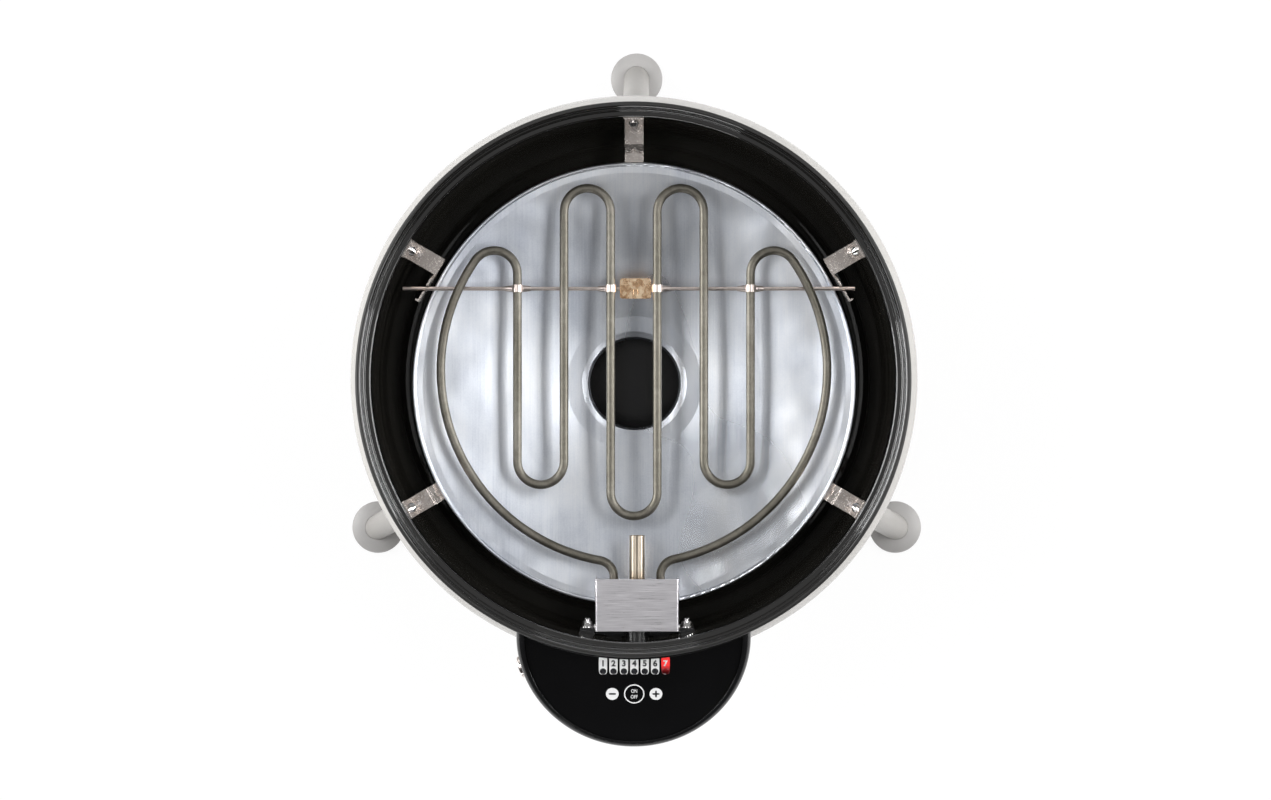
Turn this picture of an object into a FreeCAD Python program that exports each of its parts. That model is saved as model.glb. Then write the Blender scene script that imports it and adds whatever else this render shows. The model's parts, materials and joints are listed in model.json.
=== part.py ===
import FreeCAD, Part
import math
import os

# Round table-top electric grill: a double-walled kettle bowl on three splayed legs.
# Millimetres. The origin is on the table under the bowl's axis, +Z up, the control unit towards -Y.

V = FreeCAD.Vector
os.makedirs("parts", exist_ok=True)

# Fits and sheet thicknesses
sheet = 1.2                 # enamelled steel of the bowl and the shell
seat_gap = 0.2              # between a moving piece and what it rests on
slip_gap = 0.05             # radial gap of a pin or tube in its hole

# Rolled rim of the bowl
rim_r = 210.0
rim_z = 285.0
rim_bead = 2.2              # radius of the rolled edge
rim_skirt = 8.0             # height of the turned-down edge
rim_reach = 10.6            # how far the rim stands out from the bowl's wall
ledge_run = 3.9             # radial width of the step that the grate lies on
ledge_rise = 3.2            # height of each step
ledge_round = 1.2           # rounding where each step begins
ledge_lean = 0.3            # of each step's riser
wall_lap = 4.0              # how far down the rim's profile replaces the wall's
ledge_z = rim_z - rim_bead - 2 * ledge_rise

# Inner bowl, inner face
bowl_r = rim_r - rim_reach
bowl_wall_h = 70.0          # from the rim's top down to where the wall starts to curve in
bowl_knee_z = rim_z - bowl_wall_h
bowl_side_r = 80.0          # radius of the side's curve
bottom_turn = 68.0          # degrees that the side's curve turns before the flatter bottom

# Outer shell, outer face
wall_space = 22.6           # from the bowl's inner face to the shell's outer face at its widest
shell_r = bowl_r + wall_space
shell_wide_drop = 3.0       # widest ring below the bowl's knee
shell_wide_z = bowl_knee_z - shell_wide_drop
shell_top_r = 110.0         # radius of the curve above the widest ring
shell_top_turn = 16.5       # degrees of that curve, below a straight flank
shell_edge_drop = 7.5       # the shell's top edge below the rim's top
shell_top_z = rim_z - shell_edge_drop
shell_side_extra = 10.0     # the shell's side curve is wider than the bowl's
shell_side_r = bowl_side_r + shell_side_extra

# Drip spout through both walls
spout_r = 44.0
spout_wall = 1.2
spout_flange = 10.0
spout_drop = 6.3            # how far the spout ends below the shell
spout_nut = 9.0
spout_nut_t = 3.0

# Grate and reflector brackets
bracket_angles = {"rear": 90.0, "left_front": 210.0, "right_front": 330.0}
arm_angles = {"left_rear": 150.0, "right_rear": 30.0}
bracket_w = 14.5
bracket_t = 1.5
shelf_depth = 63.0          # of the shelves below the rim's top
shelf_z = rim_z - shelf_depth
shelf_w = 15.9
shelf_in_r = bowl_r - shelf_w
arm_shelf_w = 24.6          # of the two shelves that have an arm
arm_shelf_r = bowl_r - arm_shelf_w
leg_rise = 49.0             # of a bracket's upright leg above the shelf
leg_top_z = shelf_z + leg_rise
leg_screw_rise = 21.0
leg_screw_z = shelf_z + leg_screw_rise
foot_end_gap = 0.5          # between the foot's end and the reflector's slope
slope_run = 5.5
slope_drop = 3.5
web_lean = 2.0
notch_depth = 3.0
notch_half_w = 4.0
bracket_screw_r = 2.0
bracket_head_r = 4.0
bracket_head_h = 3.0
bracket_crown_r = 2.2       # of the screw head's flat crown
bracket_nut_h = 2.5
bracket_nut_gap = 0.1
arm_reach = 31.0            # along the rim, from the bracket's middle
arm_low = 11.0              # of arm below the rod
arm_high = 4.5              # of arm above the rod's axis
arm_corner = 4.0
arm_curl = 3.5              # width of the bent-back end
rod_slot = 4.4

# Reflector dish
reflector_rim_gap = 25.4    # from the bowl's wall
reflector_r = bowl_r - reflector_rim_gap
reflector_sink = 9.5        # underside of its edge below the shelves
reflector_z = shelf_z - reflector_sink
reflector_t = 0.8
reflector_y = -3.7
reflector_bead = 1.6
reflector_lip = 8.0
reflector_drop = 19.0
reflector_hole_r = 35.4
collar_r = 41.5
collar_drop = 6.0
collar_run = 12.0
collar_rise = 1.2
collar_bend = 1.8

# Tubular heating element
tube_r = 3.4
element_depth = 52.0        # of the tube's axis below the rim's top
element_z = rim_z - element_depth
loop_inset = 24.0           # the outer loop inside the reflector's edge
loop_r = reflector_r - loop_inset
loop_y = 7.0
cap_room = 23.3             # sets how far the outer bends stay inside the loop
run_pitch = (loop_r - cap_room) / 3.5
run_top_inset = 19.8
side_run_inset = 86.2
mid_run_inset = 61.9
run_top_y = loop_r - run_top_inset
side_run_low_y = side_run_inset - loop_r
mid_run_low_y = mid_run_inset - loop_r
neck_r = 13.0

# Support rod, clamps and centre tag
rod_r = 1.5
rod_along = 19.5            # along the arms from their brackets' middle to the rod
rod_left_over = 18.9        # of rod past the left arm
rod_right_over = 10.9       # of rod past the right arm
clamp_t = 0.8
clamp_w = 5.7
crimp_len = 6.0
crimp_r = 2.7
crimp_end = 0.4             # wall left at a crimp's thin end
tag_side_room = 5.9         # between the tag and the runs on both sides
tag_w = run_pitch - 2 * tag_side_room
tag_h = 15.8
tag_t = 1.2
tag_x = 1.2
tag_curl = 1.0
tag_relief = 0.5
tag_corner = 2.0
arrow_margin = 2.3          # of the raised arrow inside the tag's edges
arrow_stem = 1.5            # half width
arrow_half_w = 4.5

# Terminal box and its hinge
box_x = 2.5
box_w = 64.5
box_len = 40.2
box_wall_gap = 5.4          # from the bowl's wall to the box's back edge
box_rear_y = box_wall_gap - bowl_r
box_front_y = box_rear_y + box_len
box_depth = 35.0            # of its top below the rim's top
box_top_z = rim_z - box_depth
box_h = 30.0
box_t = 1.0
box_round = 1.5             # of the two long upper edges
end_plate_t = 1.5
end_plate_inset = 2.0
hinge_inset = 2.8           # of the hinge's axis from the box's back edge
hinge_y = box_rear_y + hinge_inset
hinge_drop = 3.6            # of the hinge's axis below the box's top
hinge_z = box_top_z - hinge_drop
hinge_pin_r = 1.3
knuckle_r = 2.5
knuckle_len = 12.0
knuckle_x = 18.0
strap_t = 1.5
bar_drop = 0.5              # of the bar under the box below the box's lower edge
bar_h = 5.0
bar_low_z = box_top_z - box_h - bar_drop
ear_gap = 0.8               # between the box and each ear
pin_head_h = 1.0
pin_head_r = 2.4
bush_r = 2.9
bush_len = 4.0
tube_in_box = 12.2          # of the tube's two ends behind the box's front
tube_end_y = box_front_y - tube_in_box
lead_pin_r = 1.2
lead_pin_len = 9.0
tab_size = (6.3, 8.0, 0.8)
tab_lap = 2.0               # of the tab beyond the pin's end
probe_r = 6.1
probe_wall = 0.8
probe_out = 32.9            # in front of the box
probe_in = 16.2             # behind the box's front
probe_front_y = box_front_y + probe_out
probe_rear_y = box_front_y - probe_in
probe_rise = 7.0            # above the tube's axis
probe_z = element_z + probe_rise
bulb_r = 4.6
bulb_inset = 3.0
bulb_foot = 1.5

# Flange plate on the bowl wall, its studs and the lead duct
plate_t = 1.5
stud_beside = 6.35          # from the box's side to the stud's axis
stud_x = box_w / 2 + stud_beside
plate_edge = 5.3            # of plate outside each stud
plate_half_w = stud_x + plate_edge
pad_half_w = 5.4
pad_over = 0.2              # of the flat pads' faces over the curved plate at the washers' outer edges
stud_rise = 3.0             # above the tube's axis
stud_z = element_z + stud_rise
plate_above = 7.0           # of plate above the studs' axes
plate_top_z = stud_z + plate_above
stud_r = 2.5
stud_out = 7.3              # of stud beyond the pad
stud_chamfer = 0.8
stud_head_rim = 2.0         # of the head round the stud
stud_head_t = 3.0
stud_boss_rim = 3.0         # of the boss round the stud
stud_boss_t = 0.8           # least height of the boss
washer_r = 5.0
washer_t = 1.0
nut_flats = 8.0
nut_t = 4.0
nut_bevel = 1.2
sleeve_r = 5.0
duct_r = 9.0
duct_wall = 1.0
duct_rise = 1.0             # above the tube's axis
duct_z = element_z + duct_rise
duct_out = 3.0              # of duct beyond the walls at each end
grommet_len = 8.0
grommet_lip = 2.0
lead_r = 1.6
lead_ring_r = 4.3
lead_over = 3.0             # of lead beyond the duct in the housing
lead_in = 4.9               # of lead inside the bowl beyond the duct's end

# Control housing: a tilted disc cut off by the shell
disc_lap = 23.5             # the disc's middle inside the shell's widest ring
disc_y = disc_lap - shell_r
disc_drop = 18.0            # of its middle below the rim's top
disc_z = rim_z - disc_drop
disc_tilt = 14.5            # degrees
disc_r = 89.5
disc_round_in = 4.9         # of the upper edge's curve
disc_top_r = disc_r - disc_round_in
disc_skirt_in = 2.5
disc_skirt_r = disc_r - disc_skirt_in
disc_low_in = 15.5
disc_low_r = disc_r - disc_low_in
disc_top = 1.0              # these heights are along the disc's own axis, from the glass
disc_shoulder = -8.0
disc_skirt = -25.0
disc_bottom = -38.0
low_bulge = (0.72, 0.62)    # shape of the lower curve between skirt and bottom
split_n = -14.0
shell_gap = 0.3
rim_clear = 10.5            # height below the shell's edge where the housing ends
housing_wall = 2.5
glass_in = 1.6              # of the glass inside the disc's flat top
glass_r = disc_top_r - glass_in
glass_t = 3.0
glass_bevel = 0.4
glass_rear_gap = 2.0
glass_seat = 3.5

# Electronics
board_top = -9.0
board_t = 1.6
board_in = 9.5              # of the board inside the disc
board_r = disc_r - board_in
board_clear = 1.0
lamp_pitch = 8.0
lamp_v = -25.5
lamp_w = 3.2
key_x = 16.75
key_v = -44.0
key_r = 5.2
key_mid_r = 8.0
relay_size = (22.0, 16.0, 15.0)
relay_bevel = 1.0
relay_at = (-30.0, -50.0)
supply_size = (24.0, 20.0, 16.0)
supply_bevel = 1.5
supply_at = (-4.0, -52.0)
boss_r = 3.5
boss_in = 5.5               # of the screws' ring inside the disc's lower edge
boss_ring_r = disc_low_r - boss_in
boss_turns = (217.9, 244.2, 293.6, 322.1)
screw_r = 1.5
screw_head_r = 3.0
screw_head_h = 2.0
screw_len = 20.0
screw_sink = 0.2
screw_slot = (0.8, 0.8)     # width and depth

# Mains inlet in the underside
inlet_at = (22.0, -48.0)
inlet_w = 27.0
inlet_d = 20.0
inlet_h = 18.0
inlet_well = 14.0
inlet_rim = 3.0
inlet_bevel = 2.0
inlet_pin = (2.0, 4.0, 10.0)
inlet_pin_tail = 3.0
inlet_pitch = 7.0
inlet_earth_up = 2.5
inlet_live_down = 1.0

# Push switch in the housing's left side
button_angle = 198.6
button_n = -18.5
button_r = 8.4
button_out = 5.0
button_len = 9.0
button_press = 1.5
button_gap = 0.3
button_wall = 1.2
button_round = 1.0
collar_t = 2.0
collar_out = 1.0
collar_in = 4.0             # of collar behind the housing's wall
collar_lip = 0.8
collar_lip_t = 1.5
stem_r = 2.0
stem_len = 5.0
switch_r = 6.8
switch_len = 10.0
switch_flange_t = 1.8
button_face_t = 2.0
spring_r = 5.0              # inner radius
spring_wire_w = 1.0
spring_wire_h = 0.7
spring_turns = 3

# Legs and feet
leg_angles = {"rear": 90.0, "left": 210.0, "right": 330.0}
leg_root_turn = 45.0        # degrees down the shell's side arc
foot_spread = 39.5          # the feet's middles outside the shell's widest ring
foot_ring_r = shell_r + foot_spread
foot_r = 22.5
foot_bevel = 1.0
foot_swell = 0.72           # shape of the foot's domed top
foot_h = 8.0
foot_edge_h = 4.0
foot_floor = 3.0
leg_aim_z = 5.0
leg_r = 11.0
leg_wall = 1.2
socket_wall = 3.0
socket_len = 32.0
socket_flange_r = 24.0
socket_flange_t = 2.0
leg_start = 3.0
leg_screw_r = 2.0
leg_screw_at = 18.0
leg_screw_head_r = 4.0
leg_screw_head_h = 2.2

# Drip tray, its handle and runners
tray_w = 150.0
tray_len = 180.0
tray_depth = 25.0
tray_under = 6.0            # of the lip's top below the spout's end
tray_t = 1.0
tray_lip = 8.0
tray_corner = 16.0
tray_draft = 4.0
runner_short = 4.0
runner_len = tray_len - runner_short
runner_t = 1.2
runner_gap = 0.6
runner_lap = 6.0            # of the channel over the tray's lip
hanger_inset = 30.0
hanger_y = runner_len / 2 - hanger_inset
hanger_w = 14.0
hanger_foot = 12.0
runner_screw_r = 1.8
runner_screw_len = 8.0
runner_screw_drop = 2.0     # of the head's seat below the foot's lowest point
runner_head_r = 3.5
runner_head_h = 1.8
grip_r = 3.0
grip_w = 64.0
grip_out = 24.0
grip_bend = 9.0
grip_drop = 9.0


def save(name, shape):
    """Write one sub-part."""
    shape.exportStep("parts/" + name + ".step")


def fused(shapes):
    """One solid from pieces that touch, without seams between them."""
    whole = shapes[0].fuse(shapes[1:]) if len(shapes) > 1 else shapes[0]
    return whole.removeSplitter()


def group(solids):
    """Separate solids that share a node."""
    return Part.makeCompound(solids)


def polar(radius, angle, z=0.0):
    a = math.radians(angle)
    return V(radius * math.cos(a), radius * math.sin(a), z)


def turned(shape, angle):
    """A copy turned about the bowl's axis."""
    copy = shape.copy()
    copy.rotate(V(0, 0, 0), V(0, 0, 1), angle)
    return copy


def spun(points_and_arcs, centre=V(0, 0, 0), axis=V(0, 0, 1)):
    """A solid of revolution from edges in the XZ plane that close on the axis."""
    wire = Part.Wire(points_and_arcs)
    solid = Part.Face(wire).revolve(centre, axis, 360)
    return Part.makeSolid(solid) if solid.ShapeType == "Shell" else solid


def lines(points, closed=True):
    """Straight edges through (r, z) points."""
    corners = [V(r, 0, z) for r, z in points]
    if closed:
        corners.append(corners[0])
    return [Part.LineSegment(a, b).toShape() for a, b in zip(corners, corners[1:])]


def arc(start, middle, end):
    return Part.Arc(V(start[0], 0, start[1]), V(middle[0], 0, middle[1]), V(end[0], 0, end[1])).toShape()


def on_arc(centre, radius, angle):
    a = math.radians(angle)
    return (centre[0] + radius * math.cos(a), centre[1] + radius * math.sin(a))


def ring(inner_r, outer_r, low_z, high_z):
    """A plain ring about the bowl's axis, or a disc where the inner radius is nought."""
    outer = Part.makeCylinder(outer_r, high_z - low_z, V(0, 0, low_z))
    if inner_r == 0:
        return outer
    return outer.cut(Part.makeCylinder(inner_r, high_z - low_z + 2, V(0, 0, low_z - 1)))


def basin(wide_r, wide_z, side_arc, turn, top_edges, inset):
    """A closed solid with a round side arc and a flatter arc across the bottom.

    top_edges are the edges from the widest point up and back to the axis, already inset.
    """
    turn_rad = math.radians(turn)
    side = (wide_r - side_arc, wide_z)
    floor_arc = side_arc + side[0] / math.cos(turn_rad)
    floor_z = wide_z + (floor_arc - side_arc) * math.sin(turn_rad)
    joint = on_arc(side, side_arc - inset, -turn)
    wide = (wide_r - inset, wide_z)
    lowest = (0.0, floor_z - floor_arc + inset)
    mid_floor = on_arc((0.0, floor_z), floor_arc - inset, -90 + (90 - turn) / 2)
    edges = [arc(lowest, mid_floor, joint), arc(joint, on_arc(side, side_arc - inset, -turn / 2), wide)]
    return spun(edges + top_edges + lines([(0.0, top_edges[-1].BoundBox.ZMax), lowest], False))


def bowl_solid(inset):
    """What the inner bowl's inner face encloses; a negative inset goes outwards."""
    r = bowl_r - inset
    return basin(bowl_r, bowl_knee_z, bowl_side_r, bottom_turn,
                 lines([(r, bowl_knee_z), (r, ledge_z), (0.0, ledge_z)], False), inset)


def shell_solid(inset, top_z=shell_top_z):
    """What the outer shell's outer face encloses; a negative inset goes outwards."""
    centre = (shell_r - shell_top_r, shell_wide_z)
    radius = shell_top_r - inset
    flank = on_arc(centre, radius, shell_top_turn)
    side = arc((shell_r - inset, shell_wide_z), on_arc(centre, radius, shell_top_turn / 2), flank)
    top = (flank[0] - (top_z - flank[1]) * math.tan(math.radians(shell_top_turn)), top_z)
    return basin(shell_r, shell_wide_z, shell_side_r, bottom_turn,
                 [side] + lines([flank, top, (0.0, top_z)], False), inset)


def shell_radius(z):
    """The shell's outer radius at a height above its widest ring."""
    centre_r = shell_r - shell_top_r
    flank = on_arc((centre_r, shell_wide_z), shell_top_r, shell_top_turn)
    if z > flank[1]:
        return flank[0] - (z - flank[1]) * math.tan(math.radians(shell_top_turn))
    return centre_r + math.sqrt(shell_top_r ** 2 - (z - shell_wide_z) ** 2)


def shell_floor_z(x, y):
    """The shell's underside above a point of the table, on its flatter bottom arc."""
    turn = math.radians(bottom_turn)
    floor_arc = shell_side_r + (shell_r - shell_side_r) / math.cos(turn)
    floor_z = shell_wide_z + (floor_arc - shell_side_r) * math.sin(turn)
    return floor_z - math.sqrt(floor_arc ** 2 - x * x - y * y)


spout_end_z = shell_floor_z(0.0, 0.0) - spout_drop
tray_lip_z = spout_end_z - tray_under
bowl_space = bowl_solid(0.0)
bowl_outside = bowl_solid(-sheet)
shell_outside = shell_solid(0.0)
shell_inside = shell_solid(sheet, rim_z)

stud_places = [box_x - stud_x, box_x + stud_x]
washer_edge_x = abs(box_x) + stud_x + washer_r
pad_face_y = pad_over - math.sqrt((bowl_r - plate_t) ** 2 - washer_edge_x ** 2)
stud_tip_y = pad_face_y + stud_out
along_y = V(0, 1, 0)
arm_turn = math.radians(arm_angles["right_rear"])
rod_y = arm_shelf_r * math.sin(arm_turn) - rod_along * math.cos(arm_turn)
rod_arm_x = arm_shelf_r * math.cos(arm_turn) + rod_along * math.sin(arm_turn)


def wall_bores(extra=0.0):
    """Studs and lead duct, as bores through the walls at the front."""
    start_y = -shell_r - disc_r
    length = bowl_r
    bores = [Part.makeCylinder(stud_r + extra, length, V(x, start_y, stud_z), along_y) for x in stud_places]
    bores.append(Part.makeCylinder(duct_r + extra, length, V(box_x, start_y, duct_z), along_y))
    return bores


def rim_ring():
    """Stepped, rolled rim: the bowl wall steps out twice, rolls over and turns down."""
    bead = (rim_r - rim_bead, rim_z - rim_bead)
    foot_z = ledge_z - wall_lap
    skirt_z = rim_z - rim_bead - rim_skirt
    bead_in = on_arc(bead, rim_bead, 180)
    starts = [bowl_r, bowl_r + ledge_run + ledge_lean]
    ends = [bowl_r + ledge_run, bead_in[0] - ledge_lean]
    edges = []
    at = (bowl_r, foot_z)
    outer = [(bowl_r + sheet, foot_z), (bowl_r + sheet, ledge_z - sheet)]
    for k, (r, end) in enumerate(zip(starts, ends)):
        z = ledge_z + k * ledge_rise
        centre = (r + ledge_round, z - ledge_round)
        edges += lines([at, (r, z - ledge_round)], False)
        edges.append(arc((r, z - ledge_round), on_arc(centre, ledge_round, 135), (r + ledge_round, z)))
        edges += lines([(r + ledge_round, z), (end, z)], False)
        at = (end, z)
        outer += [(end + sheet, z - sheet), (end + ledge_lean + sheet, z + ledge_rise - sheet)]
    outer[-1] = on_arc(bead, rim_bead - sheet, 180)
    edges += lines([at, bead_in], False)
    edges.append(arc(bead_in, on_arc(bead, rim_bead, 90), on_arc(bead, rim_bead, 0)))
    edges += lines([(rim_r, rim_z - rim_bead), (rim_r, skirt_z), (rim_r - sheet, skirt_z),
                    (rim_r - sheet, rim_z - rim_bead)], False)
    edges.append(arc(on_arc(bead, rim_bead - sheet, 0), on_arc(bead, rim_bead - sheet, 90), outer[-1]))
    edges += lines(outer[::-1] + [(bowl_r, foot_z)], False)
    return spun(edges)


def bracket_frame(angle):
    """Start and direction of a bracket's screw, from inside the bowl outwards."""
    return polar(bowl_r - bracket_head_h - bracket_t - slip_gap, angle, leg_screw_z), polar(1.0, angle)


def bracket_bore(angle):
    start, outward = bracket_frame(angle)
    return Part.makeCylinder(bracket_screw_r + slip_gap, shelf_w, start, outward)


all_bracket_angles = list(bracket_angles.values()) + list(arm_angles.values())


def inner_bowl():
    body = bowl_outside.cut(bowl_space)
    body = body.common(Part.makeCylinder(rim_r, ledge_z - wall_lap))
    body = fused([body, rim_ring()])
    body = body.cut(Part.makeCylinder(spout_r + spout_wall + slip_gap, bowl_knee_z))
    cuts = wall_bores(slip_gap)
    for angle in all_bracket_angles:
        cuts.append(bracket_bore(angle))
    return body.cut(cuts)


def outer_shell():
    body = shell_outside.cut(shell_inside)
    cuts = wall_bores(slip_gap) + [Part.makeCylinder(spout_r + spout_wall + slip_gap, bowl_knee_z)]
    cuts += [screw_shank(x, y, slip_gap) for x, y in runner_screw_places()]
    return body.cut(cuts)


def drip_spout():
    """A short tube with a curved flange that sits on the bowl's bottom."""
    outer_r = spout_r + spout_wall
    skin = bowl_space.cut(bowl_solid(spout_wall))
    flange = skin.common(ring(spout_r, outer_r + spout_flange, 0, bowl_knee_z))
    flange_top = flange.BoundBox.ZMin + spout_wall
    return fused([ring(spout_r, outer_r, spout_end_z, flange_top), flange])


def spout_ring_nut():
    """The ring under the shell that clamps the spout."""
    outer_r = spout_r + spout_wall
    skin = shell_solid(-spout_nut_t).cut(shell_outside)
    return skin.common(ring(outer_r + slip_gap, outer_r + spout_nut, 0, shell_wide_z))


def strip(points, width, thickness):
    """A bent strip: (r, z) points of its upper side, thickness below, width across Y."""
    lower = []
    count = len(points)
    for k in range(count):
        before = points[max(k - 1, 0)]
        after = points[min(k + 1, count - 1)]
        here = points[k]
        a = math.atan2(here[1] - before[1], here[0] - before[0]) if k else None
        b = math.atan2(after[1] - here[1], after[0] - here[0]) if k < count - 1 else None
        a = b if a is None else a
        b = a if b is None else b
        mid = (a + b) / 2
        reach = thickness / math.cos((b - a) / 2)
        lower.append((here[0] + reach * math.sin(mid), here[1] - reach * math.cos(mid)))
    outline = Part.Face(Part.Wire(lines(points + lower[::-1])))
    outline.translate(V(0, -width / 2, 0))
    return outline.extrude(V(0, width, 0))


def reflector_bracket(angle):
    """Leg on the wall, grate shelf, slope with a V notch, web and foot under the reflector."""
    foot_in_r = reflector_r - reflector_lip + reflector_y * math.sin(math.radians(angle)) + foot_end_gap
    knee_r = shelf_in_r - slope_run
    knee_z = shelf_z - slope_drop
    foot_z = reflector_z
    points = [(foot_in_r, foot_z), (knee_r + web_lean, foot_z), (knee_r, knee_z), (shelf_in_r, shelf_z),
              (bowl_r - bracket_t, shelf_z), (bowl_r - bracket_t, leg_top_z)]
    body = strip(points, bracket_w, bracket_t)
    edges = [e for e in body.Edges if abs(e.Length - bracket_w) < 0.01]
    corner = [e for e in edges if e.BoundBox.XMin > bowl_r - bracket_t / 2 and e.BoundBox.ZMax < shelf_z]
    body = body.makeFillet(bracket_t, corner)
    corners = [V(knee_r - bracket_t, -notch_half_w, 0), V(knee_r - bracket_t, notch_half_w, 0),
               V(knee_r + notch_depth, 0, 0)]
    notch = Part.Face(Part.makePolygon(corners + corners[:1]))
    notch.translate(V(0, 0, knee_z - slope_drop))
    return body.cut(notch.extrude(V(0, 0, 2 * slope_drop))).cut(bracket_bore(0.0))


def arm_bracket(side):
    """Leg and shelf, with an arm that runs along the rim from the shelf's inner edge.

    side is 1 where the arm runs anticlockwise, -1 where it runs clockwise.
    """
    shelf = strip([(arm_shelf_r, shelf_z), (bowl_r - bracket_t, shelf_z), (bowl_r - bracket_t, leg_top_z)],
                  bracket_w, bracket_t)
    rod_z = element_z - tube_r - rod_r
    low_z = rod_z - arm_low
    high_z = rod_z + arm_high
    half = bracket_w / 2
    far = arm_reach
    outline = [(-half, shelf_z), (half, shelf_z), (half + arm_corner, high_z), (far, high_z),
               (far, low_z + arm_corner), (far - arm_corner, low_z), (arm_corner - half, low_z),
               (-half, low_z + arm_corner)]
    corners = [V(arm_shelf_r, side * y, z) for y, z in outline]
    corners.append(corners[0])
    plate = Part.Face(Part.makePolygon(corners)).extrude(V(bracket_t, 0, 0))
    curl = Part.makeBox(arm_curl, bracket_t, high_z - low_z - arm_corner,
                        V(arm_shelf_r, side * far - bracket_t / 2, low_z + arm_corner))
    return fused([shelf, plate, curl]).cut(bracket_bore(0.0))


def rod_slot_cut():
    """An open-topped slot round the rod, along X."""
    z = element_z - tube_r - 2 * rod_r - seat_gap + rod_slot / 2
    slot = Part.makeBox(2 * bowl_r, rod_slot, rim_z - z, V(-bowl_r, rod_y - rod_slot / 2, z))
    return fused([slot, Part.makeCylinder(rod_slot / 2, 2 * bowl_r, V(-bowl_r, rod_y, z), V(1, 0, 0))])


def bracket_screws():
    """Pan-head screws from inside, one in each bracket, with a nut behind the wall."""
    solids = []
    for angle in all_bracket_angles:
        _, outward = bracket_frame(angle)
        z = leg_screw_z
        face = bowl_r - bracket_t
        nut_at = bowl_r + sheet + bracket_nut_gap
        head = Part.makeCone(bracket_crown_r, bracket_head_r, bracket_head_h,
                             polar(face - bracket_head_h, angle, z), outward)
        length = nut_at + 2 * bracket_nut_h - face
        shank = Part.makeCylinder(bracket_screw_r, length, polar(face, angle, z), outward)
        nut = Part.makeCylinder(bracket_head_r, bracket_nut_h, polar(nut_at, angle, z), outward)
        solids.append(fused([head, shank, nut]))
    return group(solids)


def reflector():
    """A shallow dish that falls to the middle, with a rolled edge and a turned-down collar."""
    t = reflector_t
    top = reflector_z + t
    hole = reflector_hole_r
    low = reflector_z - reflector_drop
    bead_r = reflector_r - reflector_bead
    neck_z = low - collar_drop
    lip_r = reflector_r - reflector_lip
    slope_r = collar_r + collar_run
    bend = collar_bend
    over = [(bead_r, top), (lip_r, top), (slope_r, low + t + collar_rise), (collar_r, low + t),
            (hole + bend, low + t - bend / 2), (hole, low + t - 2 * bend), (hole, neck_z), (hole + t, neck_z)]
    under = [(hole + t, low - 2 * bend), (hole + t + bend, low - bend / 2), (collar_r, low),
             (slope_r, low + collar_rise), (lip_r, reflector_z), (bead_r, reflector_z)]
    dish = spun(lines(over + under))
    bead = Part.makeTorus(bead_r, reflector_bead, V(0, 0, reflector_z + reflector_bead))
    dish = fused([dish, bead])
    dish.translate(V(0, reflector_y, 0))
    return dish


def element_path():
    """The tube's bends and straights, in order along one half and then the other.

    Each bend is (centre x, centre y, radius, first angle, last angle), each straight (x, from y, to y).
    """
    u = run_pitch / 2
    bends = [(0.0, mid_run_low_y, u, 180.0, 360.0)]
    straights = []
    for side in (-1, 1):
        leg_x = box_x + side * u
        neck_x = leg_x + side * neck_r
        neck_y = loop_y - math.sqrt((loop_r + neck_r) ** 2 - neck_x ** 2)
        cap_x = side * (2.5 * run_pitch + u)
        cap_y = loop_y + math.sqrt((loop_r - u) ** 2 - cap_x ** 2)
        at_neck = math.degrees(math.atan2(neck_y - loop_y, abs(neck_x)))
        at_cap = math.degrees(math.atan2(cap_y - loop_y, abs(cap_x)))
        halves = [(neck_x, neck_y, neck_r, 180.0 + at_neck, 180.0), (0.0, loop_y, loop_r, at_neck, at_cap),
                  (cap_x, cap_y, u, at_cap, 180.0), (side * 2 * run_pitch, side_run_low_y, u, -180.0, 0.0),
                  (side * run_pitch, run_top_y, u, 0.0, 180.0)]
        for x, y, radius, a, b in halves:
            if side < 0:
                a, b = 180.0 - a, 180.0 - b
            bends.append((x, y, radius, min(a, b), max(a, b)))
        straights += [(leg_x, tube_end_y, neck_y), (side * 2.5 * run_pitch, side_run_low_y, cap_y),
                      (side * 1.5 * run_pitch, side_run_low_y, run_top_y),
                      (side * u, mid_run_low_y, run_top_y)]
    return bends, straights


def heating_element():
    """A round tube through every bend and straight."""
    bends, straights = element_path()
    pieces = []
    length = 0.0
    for x, y, radius, a, b in bends:
        start = V(x + radius * math.cos(math.radians(a)), y + radius * math.sin(math.radians(a)), element_z)
        across = V(-math.sin(math.radians(a)), math.cos(math.radians(a)), 0)
        section = Part.Face(Part.Wire([Part.Circle(start, across, tube_r).toShape()]))
        pieces.append(section.revolve(V(x, y, element_z), V(0, 0, 1), b - a))
        length += radius * math.radians(b - a)
    for x, low, high in straights:
        pieces.append(Part.makeCylinder(tube_r, high - low, V(x, low, element_z), along_y))
        length += high - low
    tube = fused(pieces)
    print("element: length", round(length, 1), "volume over section times length",
          round(tube.Volume / (math.pi * tube_r ** 2 * length), 5), "solids", len(tube.Solids))
    return tube


def support_rod():
    z = element_z - tube_r - rod_r
    left_x = -rod_arm_x - rod_left_over
    return Part.makeCylinder(rod_r, rod_arm_x + rod_right_over - left_x, V(left_x, rod_y, z), V(1, 0, 0))


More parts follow.
